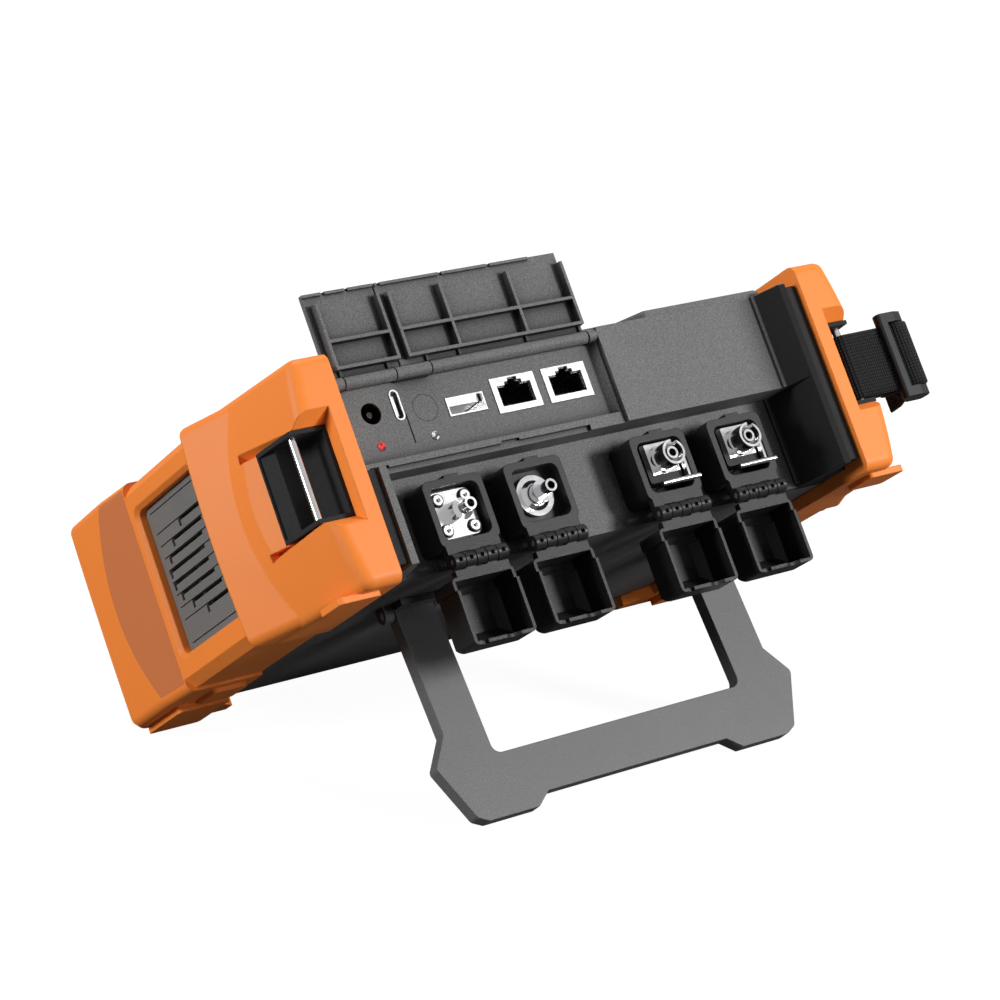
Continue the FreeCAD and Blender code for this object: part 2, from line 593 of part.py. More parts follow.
def cap_shell(middle, mouth, top, bottom):
    """One-piece shell of a cap, open at its mouth, its end chamfered all round."""
    half = S.cap_wide / 2
    end = mouth + S.cap_depth
    bevel = S.cap_bevel
    wall = S.cap_wall
    profile = [(mouth, top), (mouth, bottom), (end - bevel, bottom), (end, bottom + bevel),
               (end, top - bevel / 2), (end - bevel / 2, top)]
    inner = [(mouth - EAR, top - wall), (mouth - EAR, bottom + wall),
             (end - bevel - wall / 2, bottom + wall), (end - wall, bottom + bevel + wall / 2),
             (end - wall, top - bevel / 2 - wall / 2), (end - bevel / 2 - wall / 2, top - wall)]
    outer = prism("x", profile, middle - half, middle + half)
    outer = dressed("Chamfer", outer, Size(3.2, "3.2"), lambda mid, run, edge:
                    along(run, "z") and mid.y > end.number - 0.1)
    outer = dressed("Fillet", outer, Size(1.6, "1.6"), lambda mid, run, edge:
                    along(run, "y") and mid.y < end.number - 3)
    hollow = prism("x", inner, middle - half + wall, middle + half - wall)
    hollow = dressed("Chamfer", hollow, Size(2.6, "2.6"), lambda mid, run, edge:
                     along(run, "z") and mid.y > end.number - wall.number - 0.1)
    return cut(outer, hollow)


def make_cap(number, middle):
    """Hollow cap, drawn swung down below its hinge with its mouth to the front."""
    mouth = -2 * S.cap_axis_front + S.collar_front + S.cap_play
    top = 2 * S.cap_axis_up - (S.port_up - S.collar_tall / 2)
    bottom = top - S.cap_tall
    neck = top - S.neck_tall
    wide = S.cap_wide
    lower = common(cap_shell(middle, mouth, top, bottom),
                   brick(middle - wide, middle + wide, mouth - 1, mouth + 2 * S.cap_depth, bottom - 1, neck))
    upper = common(cap_shell(middle - S.neck_shift, mouth, top, bottom),
                   brick(middle - wide, middle + wide, mouth - 1, mouth + 2 * S.cap_depth, neck, top + 1))
    sill = bottom + S.cap_wall + 0.4
    notch = brick(middle + S.notch_x - S.notch_wide / 2, middle + S.notch_x + S.notch_wide / 2,
                  mouth - EAR, mouth + 1.2, bottom - EAR, sill)
    scallop = rod("z", bottom - EAR, sill, middle + S.scallop_x, mouth - 2.2, S.scallop_r)
    knuckle = S.hinge_long / 5
    left = middle - S.hinge_long / 2
    parts = [brick(left, left + S.hinge_long, mouth, mouth + S.hinge_plate, top - 0.8,
                   S.cap_axis_up - S.cap_knuckle_r - S.hinge_gap)]
    for index in (1, 3):
        a = left + knuckle * index + 0.15
        b = left + knuckle * (index + 1) - 0.15
        parts.append(rod("x", a, b, -S.cap_axis_front, S.cap_axis_up, S.cap_knuckle_r))
        parts.append(brick(a, b, mouth, mouth + S.hinge_plate, top - 0.8, S.cap_axis_up))
    solid = fuse(cut(fuse(lower, upper), notch, scallop), *parts)
    bore = rod("x", left - 1, left + S.hinge_long + 1, -S.cap_axis_front, S.cap_axis_up,
               S.cap_pin_r + S.pin_play)
    keep(f"port_cap_{number}", cut(solid, bore, *knuckle_windows(middle, (1, 3))))


for number, (middle, seat) in enumerate(zip(port_places(), port_seats()), 1):
    make_port(number, middle, seat)
    make_cap(number, middle)

keep("cap_hinge_pins", *[rod("x", middle - S.hinge_long / 2 + 0.2, middle + S.hinge_long / 2 - 0.2,
                             -S.cap_axis_front, S.cap_axis_up, S.cap_pin_r)
                         for middle in port_places()])


def make_adapters():
    """The four optical adapters on the port wall."""
    seat = S.seat_shallow
    tail_end = S.port_wall + S.wall + S.adapter_tail
    x = S.port_first
    half = S.flange_side / 2
    flange = brick(x - half, x + half, seat - S.flange_thick, seat, S.port_up - half, S.port_up + half)
    flange = dressed("Fillet", flange, Size(2.0, "2"), lambda mid, run, edge: along(run, "y"))
    stack = [rod("y", seat - S.step_reach, seat, x, S.port_up, S.step_r),
             cone("y", seat - S.step_reach - 0.8, seat - S.step_reach, x, S.port_up, S.nose_r, S.step_r),
             rod("y", seat - S.nose_reach, seat, x, S.port_up, S.nose_r),
             rod("y", seat - 0.5, tail_end, x, S.port_up, S.tail_r)]
    bore = rod("y", seat - 30, seat + 2, x, S.port_up, S.ferrule_r)
    offset = half - 2.4
    corners = [(a, b) for a in (-1, 1) for b in (-1, 1)]
    holes = [rod("y", seat - 5, seat + 1, x + a * offset, S.port_up + b * offset, 1.0) for a, b in corners]
    keep("adapter_square", cut(fuse(flange, *stack), bore, *holes))
    screws = []
    for a, b in corners:
        spot = (x + a * offset, S.port_up + b * offset)
        head = fuse(rod("y", seat - S.flange_thick - 1.0, seat - S.flange_thick, *spot, 1.8),
                    rod("y", seat - S.flange_thick - 0.5, seat - 0.05, *spot, 0.95))
        screws.append(cut(head, rod("y", seat - S.flange_thick - EAR, seat - S.flange_thick - 0.2, *spot, 0.8)))
    keep("adapter_screws", *screws)

    x = S.port_second
    stack = [rod("y", seat - S.flange_thick, seat, x, S.port_up, S.round_flange_r),
             cone("y", seat - S.flange_thick - 0.9, seat - S.flange_thick, x, S.port_up,
                  S.step_r + 0.2, S.step_r + 1.4),
             rod("y", seat - S.step_reach, seat, x, S.port_up, S.step_r),
             rod("y", seat - S.nose_reach, seat, x, S.port_up, S.nose_r),
             rod("y", seat - 0.5, tail_end, x, S.port_up, S.tail_r)]
    bore = rod("y", seat - 30, seat + 2, x, S.port_up, S.ferrule_r)
    keep("adapter_round", cut(fuse(*stack), bore))

    seat = S.seat_deep
    for number, x in ((3, S.port_third), (4, S.port_fourth)):
        face = seat - S.block_deep
        up = S.port_up + S.barrel_lift
        aside = x + S.barrel_shift
        low = S.port_up - S.block_tall / 2 + S.block_lift
        block = brick(x - S.block_wide / 2, x + S.block_wide / 2, face, seat, low, low + S.block_tall)
        block = dressed("Fillet", block, Size(1.0, "1"), lambda mid, run, edge: along(run, "y"))
        barrel = rod("y", face - S.thread_reach, seat, aside, up, S.thread_r)
        collar = rod("y", face - 1.6, face, aside, up, S.thread_r + 0.4)
        inside = rod("y", face - S.thread_reach - EAR, face - 0.6, aside, up, S.thread_bore)
        sleeve = rod("y", face - S.thread_reach + 0.8, seat, aside, up, S.sleeve_r)
        tail = rod("y", seat - 0.5, tail_end, x, S.port_up, S.tail_r)
        hole = rod("y", face - 30, seat - 1, aside, up, S.ferrule_r)
        pinhole = rod("y", face - 1, face + 2, x - 1.6, low + S.block_tall - 2.2, 0.6)
        key = brick(aside + 0.2, aside + 2.2, face - S.thread_reach - EAR, face - S.thread_reach + 2.4,
                    up + S.sleeve_r + 0.4, up + S.thread_r + 2)
        solid = fuse(cut(fuse(block, barrel, collar, tail), inside, key, pinhole), sleeve)
        keep(f"adapter_threaded_{number}", cut(solid, hole))
        front = face - S.lever_reach
        edge = x + S.block_wide / 2
        pin = rod("x", edge - S.lever_pin_long, edge + 2.6, front, low - 1.5, S.lever_pin_r)
        plate = brick(x - 3.6, x + 5.2, front, face + 2.4, low - 1.9, low - 1.1)
        bridge = brick(x + 4.0, edge + 1.3, face - 2.4, face + 2.4, low - 1.9, low - 1.1)
        arm = brick(edge + 0.5, edge + 1.3, face - 2.4, face + 2.4, low - 1.9, low + 6.5)
        keep(f"latch_lever_{number}", fuse(pin, plate, arm, bridge))


make_adapters()


def facet_round(start, end, radius):
    """Long cylinder that touches the line from start to end from inside and bulges it in Z."""
    a = FreeCAD.Vector(as_size(start[0]).number, as_size(start[1]).number, 0)
    b = FreeCAD.Vector(as_size(end[0]).number, as_size(end[1]).number, 0)
    run = (b - a).normalize()
    inward = FreeCAD.Vector(run.y, -run.x, 0)
    if inward.x < 0:
        inward = inward * -1
    bar = fresh("Part::Cylinder", "facet")
    bind(bar, Radius=radius)
    bar.Height = 500
    turn = FreeCAD.Rotation(FreeCAD.Vector(0, 0, 1), run)
    bar.Placement = FreeCAD.Placement(a + inward * radius.number - run * 200, turn)
    return bar


def make_bumper_form():
    """Outer form of the left bumper: three sections, each with its own crowned side."""
    drop, top = S.bumper_drop, S.bumper_top
    inner = -S.bumper_in
    step = S.window_near - 1.8
    nose = (-S.bumper_nose, -S.bumper_front)
    nose_end = (-S.bumper_side - 1.7, step)
    front = common(prism("z", [(inner, -S.bumper_front), nose, nose_end, (inner, step)], -drop, top),
                   facet_round(nose, nose_end, S.nose_crown_r))
    front = dressed("Fillet", front, S.nose_round, lambda mid, run, edge:
                    mid.x < inner.number - 3 and abs(mid.z) < 20 and mid.y < 0 and edge.Length > 30)
    front = dressed("Fillet", front, S.edge_round, lambda mid, run, edge:
                    mid.x < inner.number - 3 and abs(mid.z) > 30 and mid.y < step.number - 2
                    and abs(run.z) < 0.5)

    top = S.bumper_top - 0.6
    drop = S.bumper_drop - 0.4
    foot = (-S.nose_band_x, S.nose_band_y)
    peak = (-S.bumper_out + 1, step)
    band = common(prism("z", [(inner, S.nose_band_y), foot, peak, (inner, step)], -drop, top),
                  facet_round(foot, peak, S.crown_r))
    band = dressed("Fillet", band, S.edge_round, lambda mid, run, edge:
                   mid.x < -S.bumper_nose.number - 2 and abs(mid.z) > 28 and abs(run.z) < 0.5
                   and abs(run.y) > 0.3)

    top = S.bumper_top - 3
    drop = S.bumper_drop - 1.5
    middle = prism("z", [(inner, step), (-S.recess_out, step), (-S.recess_out, S.recess_far),
                         (inner, S.recess_far)], -drop, top)
    middle = dressed("Chamfer", middle, S.edge_round, lambda mid, run, edge:
                     mid.x < -S.bumper_nose.number - 2 and abs(mid.z) > 28 and abs(run.z) < 0.5
                     and abs(run.y) > 0.3)

    top = S.bumper_top - 1.5
    drop = S.bumper_drop - 0.5
    slope = (-S.recess_out - 3.6, S.recess_far + 31)
    far = common(prism("z", [(inner, S.recess_far), (-S.recess_out, S.recess_far), slope,
                             (-S.bumper_out - 1, S.bumper_far - 13), (-S.bumper_out + 5.5, S.bumper_far - 3),
                             (-S.bumper_out + 16, S.bumper_far), (-S.hook_in, S.bumper_far),
                             (-S.hook_in, S.bumper_far - 8), (inner, S.bumper_far - 16)], -drop, top),
                 facet_round((-S.bumper_out, 0), (-S.bumper_out, 100), S.crown_r))
    far = dressed("Fillet", far, S.edge_round, lambda mid, run, edge:
                  abs(mid.z) > 28 and abs(run.z) < 0.6 and mid.x < -S.hook_in.number - 2
                  and (mid.x < -S.bumper_nose.number - 2 or mid.y > S.case_far.number + 1)
                  and mid.y > S.recess_far.number + 0.5)
    return fuse(front, band, middle, far)

def make_bumper():
    """Left bumper: the outer form less the case, the bevelled strap slot and the grille window."""
    gap = S.seat_gap
    case = prism("z", [(-S.case_half - gap, S.shoulder_back - gap),
                       (-S.case_half - gap, S.case_far + gap - S.case_corner),
                       (-S.case_half + S.case_corner - gap, S.case_far + gap), (0, S.case_far + gap),
                       (0, -S.bumper_front - 10), (-S.bumper_in, -S.bumper_front - 10),
                       (-S.bumper_in, -S.cheek_back - gap), (-S.shoulder_half - gap, -S.cheek_back - gap),
                       (-S.shoulder_half - gap, S.shoulder_back - gap)],
                 -S.case_drop - gap, S.case_top + gap)
    strut = -S.bumper_in - S.strut
    slot = prism("z", [(strut, -S.bumper_front - EAR), (strut, S.slot_back), (-S.scoop_x + 2, S.slot_back),
                       (-S.scoop_x, S.slot_far), (-S.scoop_end_x, S.slot_scoop),
                       (-2 * S.scoop_end_x + S.scoop_x, 2 * S.slot_scoop - S.slot_far),
                       (-S.bumper_out - EAR, 2 * S.slot_scoop - S.slot_far),
                       (-S.bumper_out - EAR, -S.bumper_front - EAR)],
                 -S.slot_down, S.slot_up)
    rise = S.horn_up - S.slot_up
    fall = S.horn_down - S.slot_down
    rim = -S.bumper_front + S.rim_depth
    ahead = prism("x", [(rim, S.slot_up - 0.1), (-S.bumper_front, S.horn_up),
                        (rim - 2 * S.rim_depth, S.horn_up + rise),
                        (rim - 2 * S.rim_depth, -S.horn_down - fall), (-S.bumper_front, -S.horn_down),
                        (rim, -S.slot_down + 0.1)], -S.bumper_out - EAR, strut)
    side = -S.scoop_end_x
    above = prism("y", [(side + S.rim_depth, S.slot_up - 0.1), (side, S.horn_up),
                        (side - 2 * S.rim_depth, S.horn_up + 2 * rise),
                        (side - 2 * S.rim_depth, S.slot_up - 0.1)],
                  -S.bumper_front - EAR, S.slot_scoop)
    below = prism("y", [(side + S.rim_depth, -S.slot_down + 0.1), (side, -S.horn_down),
                        (side - 2 * S.rim_depth, -S.horn_down - 2 * fall),
                        (side - 2 * S.rim_depth, -S.slot_down + 0.1)],
                  -S.bumper_front - EAR, S.slot_scoop)
    window = brick(-S.bumper_out - EAR, -S.case_half + 1, S.window_near, S.window_far,
                   -S.window_down, S.window_up)
    window = dressed("Fillet", window, Size(2.5, "2.5"), lambda mid, run, edge: along(run, "x"))
    cap = cut(make_bumper_form(), case, slot, ahead, above, below, window)
    cap = dressed("Chamfer", cap, S.window_bevel, lambda mid, run, edge:
                  abs(mid.x + S.recess_out.number) < 1e-3 and edge.Length < 60
                  and S.window_near.number - 0.1 < mid.y < S.window_far.number + 0.1
                  and -S.window_down.number - 0.1 < mid.z < S.window_up.number + 0.1)
    pads = [brick(-S.pad_out, -S.pad_in, S.pad_near, S.pad_far, -S.pad_drop, -S.bumper_drop + 0.8),
            brick(-S.pad_out + 6, -S.pad_in, S.pad_near - 14, S.pad_near - 1, -S.pad_drop + 0.8,
                  -S.bumper_drop + 1.6),
            brick(-S.pad_out + 3, -S.pad_in - 1, -S.bumper_front + 6, -S.bumper_front + 19,
                  -S.pad_drop + 0.2, -S.bumper_drop + 0.6)]
    pads = [dressed("Fillet", pad, S.pad_round, lambda mid, run, edge: along(run, "z")) for pad in pads]
    return fuse(cap, *pads)


left_bumper = make_bumper()
keep("bumper_left", left_bumper)
keep("bumper_right", mirrored(left_bumper))


def make_sides():
    """Grilles, gaskets, strap liners and strap pins, drawn on the left and mirrored."""
    gap = S.hinge_gap
    front = -S.case_half - S.grille_out
    back = front + S.grille_thick
    plate = brick(front, back, S.window_near + gap, S.window_far - gap, -S.window_down + gap, S.window_up - gap)
    frame = brick(back - 0.1, -S.case_half - 0.05, S.window_near + gap, S.window_far - gap,
                  -S.window_down + gap, S.window_up - gap)
    hollow = brick(back - 0.2, -S.case_half + 1, S.window_near + gap + S.grille_rim,
                   S.window_far - gap - S.grille_rim, -S.window_down + gap + S.grille_rim,
                   S.window_up - gap - S.grille_rim)
    lines = [S.window_up - S.edge_line, -S.window_down + S.edge_line]
    slots = []
    for index in range(8):
        up = S.slot_first_up - S.slot_pitch * index
        off = (index - 3.5) ** 2
        near = S.slot_near_end - S.slot_near_bow * off
        far = S.slot_far_end - S.slot_bow * off
        slots.append(brick(front - EAR, back + 0.1, near, far, up - S.slot_wide / 2, up + S.slot_wide / 2))
        slots.append(brick(front - EAR, back + 0.1, far, far + S.notch_side,
                           up - S.slot_wide / 2 - S.notch_side, up + S.slot_wide / 2))
        lines.append(up + S.slot_wide / 2 - S.line_wide)
    grooves = [brick(front - EAR, front + S.line_deep, S.window_near + gap - 1, S.window_far - gap - 2.5,
                     up, up + S.line_wide) for up in lines]
    shape = fuse(plate, cut(frame, hollow))
    shape = dressed("Fillet", shape, Size(2.3, "2.3"), lambda mid, run, edge: along(run, "x")
                    and (mid.y < S.window_near.number + 1 or mid.y > S.window_far.number - 1))
    grille = cut(shape, *slots, *grooves)
    keep("side_grille_left", grille)
    keep("side_grille_right", mirrored(grille))

    gasket = brick(-S.bumper_in + S.seat_gap, -S.cheek_half - S.seat_gap, -S.flare_front + 1.3,
                   -S.cheek_back - S.seat_gap, -S.case_drop + 1, S.case_top - 1)
    keep("edge_gasket_right", mirrored(gasket))
    low_gasket = brick(-S.bumper_in + S.seat_gap, -S.cheek_half - S.seat_gap, -S.flare_front + 1.3,
                       -S.cheek_back - S.seat_gap, -S.case_drop + 1, -S.seam_drop)
    keep("edge_gasket_left", low_gasket)

    gap = S.seat_gap
    strut = -S.bumper_in - S.strut
    rim = -S.bumper_front + S.rim_depth
    outline = [(strut - gap, rim), (strut - gap, S.slot_back - gap), (-S.scoop_x + 2 - gap, S.slot_back - gap),
               (-S.scoop_x - gap, S.slot_far - gap), (-S.scoop_x - 1.8, S.slot_far - gap),
               (-S.scoop_x - 1.4, S.slot_back - 1), (-S.scoop_x, rim)]
    block = prism("z", outline, -S.slot_down + gap, S.slot_up - gap)
    wall = S.liner_wall
    hollow = prism("z", [(strut - gap - wall, -S.bumper_front - EAR), (strut - gap - wall, S.slot_back - gap - wall - 2),
                         (strut - gap - wall - 2, S.slot_back - gap - wall),
                         (-S.scoop_x + 1, S.slot_back - gap - wall), (-S.scoop_x - 1, S.slot_far - gap - 0.8),
                         (-S.scoop_x - 3, S.slot_far - gap - 0.8),
                         (-S.bumper_out - EAR, S.slot_far - gap - 0.8), (-S.bumper_out - EAR, -S.bumper_front - EAR)],
                   -S.slot_down + gap + S.liner_floor, S.slot_up - gap - S.liner_floor)
    pin_hole = rod("z", -S.horn_down - EAR, S.horn_up + EAR, -S.strap_pin_x, -S.strap_pin_front,
                   S.strap_pin_r)
    liner = cut(block, hollow, pin_hole)
    keep("strap_liner_left", liner)
    keep("strap_liner_right", mirrored(liner))
    pin = rod("z", -S.slot_down + gap + 0.2, S.slot_up - gap - 0.2, -S.strap_pin_x, -S.strap_pin_front,
              S.strap_pin_r)
    keep("strap_pin_left", pin)
    keep("strap_pin_right", mirrored(pin))


make_sides()


def make_strap():
    """Webbing looped round the right pin, doubled out to the buckle and folded back behind it."""
    x = S.strap_pin_x
    y = -S.strap_pin_front
    inner = S.strap_pin_r + S.soft_gap
    outer = inner + S.web_thick
    low = -S.web_half
    high = S.web_half
    eye = rod("z", low, high, x, y, outer)
    bands = [brick(x, S.web_end, y - outer, y - inner, low, high),
             brick(x, S.web_end, y + inner, y + outer, low, high),
             rod("z", low, high, S.web_end, y, outer)]
    holes = [rod("z", low - 1, high + 1, x, y, inner), brick(x, S.web_end, y - inner, y + inner, low - 1, high + 1),
             rod("z", low - 1, high + 1, S.web_end, y, inner)]
    keep("hand_strap", cut(fuse(eye, *bands), *holes))
    gap = S.soft_gap
    frame = brick(S.buckle_x - S.buckle_long / 2, S.buckle_x + S.buckle_long / 2,
                  y - outer - gap - S.buckle_thick, y + outer + gap + S.buckle_thick,
                  -S.buckle_half, S.buckle_half)
    frame = dressed("Fillet", frame, Size(1.2, "1.2"), lambda mid, run, edge: along(run, "z"))
    mouth = brick(S.buckle_x - S.buckle_long, S.buckle_x + S.buckle_long, y - outer - gap, y + outer + gap,
                  low - gap, high + gap)
    keep("strap_buckle", cut(frame, mouth))


make_strap()


def make_stand():
    """Kickstand plate, drawn hanging straight down from its hinge and then leant to the front."""
    right = [(S.leg_out, 0), (S.leg_out, -S.knee_down), (S.hip_out, -S.hip_down), (S.toe_out, -S.toe_down),
             (S.foot_out, -S.foot_down), (S.foot_in, -S.foot_down), (S.arch_out, -S.arch_down)]
    left = [(-x, z) for x, z in reversed(right)]
    window = [(-S.leg_in, 0), (-S.leg_in, -S.bar_down), (S.leg_in, -S.bar_down), (S.leg_in, 0)]
    outline = [(x, as_size(z)) for x, z in right + left + window]
    half = S.stand_thick / 2
    plate = prism("y", outline, -half, half)
    doc.recompute()
    if plate.Shape.BoundBox.ZMax > 1:
        raise RuntimeError("the stand plate points up")
    plate = dressed("Fillet", plate, Size(3.0, "3"), lambda mid, run, edge: along(run, "y")
                    and abs(mid.z + S.bar_down.number) < 0.1 and abs(mid.x) < S.leg_in.number + 0.1)
    plate = dressed("Fillet", plate, Size(2.0, "2"), lambda mid, run, edge: along(run, "y")
                    and mid.z < -S.knee_down.number - 5 and abs(mid.x) > S.leg_in.number + 1)
    barrels = [rod("x", S.leg_in, S.leg_out, 0, 0, half), rod("x", -S.leg_out, -S.leg_in, 0, 0, half)]
    bores = [rod("x", S.leg_in - 1, S.leg_out + 1, 0, 0, S.stand_pin_r + S.pin_play),
             rod("x", -S.leg_out - 1, -S.leg_in + 1, 0, 0, S.stand_pin_r + S.pin_play)]
    leant = cut(fuse(plate, *barrels), *bores)
    leant.Placement = FreeCAD.Placement(
        FreeCAD.Vector(0, S.stand_axis_y.number, -S.stand_axis_drop.number),
        FreeCAD.Rotation(FreeCAD.Vector(-1, 0, 0), S.stand_lean.number))
    bind(leant, Placement__Base__y=S.stand_axis_y, Placement__Base__z=-S.stand_axis_drop,
         Placement__Rotation__Angle=S.stand_lean)
    return leant


stand = keep("kickstand", make_stand())
doc.recompute()
if stand.Shape.BoundBox.YMin > S.stand_axis_y.number - S.foot_down.number * 0.05:
    raise RuntimeError("the stand leans away from the connector side")
low = S.leg_in - S.lug_gap - S.lug_wide
high = S.leg_out + S.lug_gap + S.lug_wide
keep("kickstand_pins",
     rod("x", low + 0.2, high - 0.2, S.stand_axis_y, -S.stand_axis_drop, S.stand_pin_r),
     rod("x", -high + 0.2, -low - 0.2, S.stand_axis_y, -S.stand_axis_drop, S.stand_pin_r))


def make_screen_side():
    plate = prism("z", [(-S.bezel_half, S.bezel_near), (S.bezel_step_x, S.bezel_near),
                        (S.bezel_step_x + 6, -S.block_front + 0.6), (S.bezel_half - 6, -S.block_front + 0.6),
                        (S.bezel_half, S.bezel_near), (S.bezel_half, S.bezel_far),
                        (-S.bezel_half, S.bezel_far)], S.case_top, S.bezel_top)
    plate = dressed("Chamfer", plate, Size(1.2, "1.2"), lambda mid, run, edge:
                    abs(mid.z - S.bezel_top.number) < 1e-3)
    window = brick(-S.screen_half, S.screen_half, S.screen_near, S.screen_far,
                   S.bezel_top - S.glass_thick, S.bezel_top + EAR)
    view = brick(-S.screen_half + 6, S.screen_half - 6, S.screen_near + 6, S.screen_far - 6,
                 S.case_top - EAR, S.bezel_top + EAR)
    holes = []
    for x in key_places():
        holes.append(brick(x - S.key_long / 2, x + S.key_long / 2, S.key_row - S.key_wide / 2,
                           S.key_row + S.key_wide / 2, S.case_top - EAR, S.bezel_top + EAR))
    keep("front_bezel", cut(plate, window, view, *holes))
    glass = brick(-S.screen_half + S.seat_gap, S.screen_half - S.seat_gap, S.screen_near + S.seat_gap,
                  S.screen_far - S.seat_gap, S.bezel_top - S.glass_thick, S.bezel_top - 0.1)
    keep("touch_glass", glass)
    keep("display_module", brick(-S.screen_half + 6.2, S.screen_half - 6.2, S.screen_near + 6.2,
                                 S.screen_far - 6.2, S.case_top - 4.5, S.bezel_top - S.glass_thick - 0.02))
    labels = ["power_key", "key_1", "key_2", "key_3", "key_4"]
    for label, x in zip(labels, key_places()):
        play = S.key_play
        top = brick(x - S.key_long / 2 + play, x + S.key_long / 2 - play, S.key_row - S.key_wide / 2 + play,
                    S.key_row + S.key_wide / 2 - play, S.case_top + S.key_travel + 0.1,
                    S.bezel_top + S.key_proud)
        top = dressed("Chamfer", top, Size(0.7, "0.7"), lambda mid, run, edge:
                      mid.z > S.bezel_top.number + 0.5 or along(run, "z"))
        stem = brick(x - S.key_long / 2 + 2.3, x + S.key_long / 2 - 2.3, S.key_row - S.key_wide / 2 + 1.8,
                     S.key_row + S.key_wide / 2 - 1.8, S.case_top - 1.0, S.case_top + S.key_travel + 0.6)
        keep(label, fuse(top, stem))


make_screen_side()


def make_inside():
    left = S.board_left
    board = brick(left, S.board_right, S.port_wall + S.wall + 2, S.board_far,
                  S.board_top - S.board_thick, S.board_top)
    tongue = brick(left + 4, S.recess_right, S.board_near, S.port_wall + S.wall + 3,
                   S.board_top - S.board_thick, S.board_top)
    drilled = [rod("z", S.board_top - S.board_thick - EAR, S.board_top + EAR, x, y, S.screw_r + 0.2)
               for x, y in post_places()]
    keep("main_board", cut(fuse(board, tongue), *drilled))
    below = S.board_top - S.board_thick
    keep("board_screws", *[fuse(rod("z", below, S.board_top + S.screw_bite, x, y, S.screw_r),
                                rod("z", below - S.screw_head, below, x, y, 2 * S.screw_r))
                           for x, y in post_places()])
    floor = -S.case_drop + S.wall
    keep("battery_pack", brick(-S.case_half + S.wall + 2, -S.case_half + S.wall + 2 + S.battery_wide,
                               S.case_far - S.wall - 4 - S.battery_long, S.case_far - S.wall - 4,
                               floor, floor + S.battery_thick))
    module = brick(-S.case_half + S.wall + 8 + S.battery_wide, -S.case_half + S.wall + 8 + S.battery_wide
                   + S.module_wide, S.case_far - S.wall - 6 - S.module_long, S.case_far - S.wall - 6,
                   floor, floor + S.module_tall)
    keep("optical_module", module)
    keep("battery_door", brick(-S.door_half + S.seat_gap, S.door_half - S.seat_gap, S.door_near + S.seat_gap,
                               S.door_far - S.seat_gap, -S.case_drop, -S.case_drop + S.door_thick))


make_inside()

doc.recompute()


def check(features):
    for feature in features:
        if "Invalid" in feature.State or "Error" in feature.State:
            raise RuntimeError(f"{feature.Name} failed: {feature.State}")


check(doc.Objects)


def floor_tilt():
    """Angle that brings the stand's foot and the bumpers' rounded far edges on one level."""
    lean = math.radians(S.stand_lean.number)
    half = S.stand_thick.number / 2
    foot_y = S.stand_axis_y.number - S.foot_down.number * math.sin(lean) + half * math.cos(lean)
    foot_z = -S.stand_axis_drop.number - S.foot_down.number * math.cos(lean) - half * math.sin(lean)
    radius = S.edge_round.number
    run = S.bumper_far.number - radius - foot_y
    rise = -(S.bumper_drop.number - 0.5) + radius - foot_z
    angle = math.atan2(rise, run) - math.asin(radius / math.hypot(run, rise))
    return math.degrees(angle)


tilt = FreeCAD.Rotation(FreeCAD.Vector(1, 0, 0), -floor_tilt())
for node in PIECES.values():
    node.Placement = FreeCAD.Placement(FreeCAD.Vector(), tilt)
doc.recompute()
box = FreeCAD.BoundBox()
for node in PIECES.values():
    box.add(node.Shape.optimalBoundingBox(True, False))
shift = FreeCAD.Vector(-(box.XMin + box.XMax) / 2, -(box.YMin + box.YMax) / 2, -box.ZMin)
for node in PIECES.values():
    node.Placement = FreeCAD.Placement(shift, tilt)
doc.recompute()
check(doc.Objects)

os.makedirs("parts", exist_ok=True)
for label, node in PIECES.items():
    if node.Shape.isNull() or not node.Shape.isValid() or not node.Shape.Solids:
        raise RuntimeError(f"{label} is not a valid solid")
    node.Shape.exportStep(f"parts/{label}.step")
print(f"{len(PIECES)} nodes, tilt {floor_tilt():.3f}, shift {shift.x:.3f} {shift.y:.3f} {shift.z:.3f}, "
      f"size {box.XLength:.1f} {box.YLength:.1f} {box.ZLength:.1f}")
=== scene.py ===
"""Looks of the handheld fibre tester: camera, light, finishes, and the cloth, contact and display pieces."""

import json
import math

import bmesh
import bpy
from mathutils import Matrix, Vector


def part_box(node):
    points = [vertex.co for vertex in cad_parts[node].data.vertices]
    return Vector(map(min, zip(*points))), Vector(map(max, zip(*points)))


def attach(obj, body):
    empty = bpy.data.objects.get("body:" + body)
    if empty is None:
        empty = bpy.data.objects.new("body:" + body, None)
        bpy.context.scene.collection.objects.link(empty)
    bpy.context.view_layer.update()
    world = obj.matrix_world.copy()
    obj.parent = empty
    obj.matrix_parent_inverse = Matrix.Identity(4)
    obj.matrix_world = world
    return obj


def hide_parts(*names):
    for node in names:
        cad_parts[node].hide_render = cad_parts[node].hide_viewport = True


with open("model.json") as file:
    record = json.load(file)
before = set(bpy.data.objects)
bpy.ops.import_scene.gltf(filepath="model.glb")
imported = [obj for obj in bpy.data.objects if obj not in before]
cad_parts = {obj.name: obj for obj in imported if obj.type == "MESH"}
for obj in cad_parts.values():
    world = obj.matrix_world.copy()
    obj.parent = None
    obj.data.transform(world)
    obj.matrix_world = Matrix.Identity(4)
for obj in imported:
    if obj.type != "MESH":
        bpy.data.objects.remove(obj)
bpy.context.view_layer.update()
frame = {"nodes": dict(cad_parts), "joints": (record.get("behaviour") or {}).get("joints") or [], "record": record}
nodes = frame["nodes"]
MM = 0.001

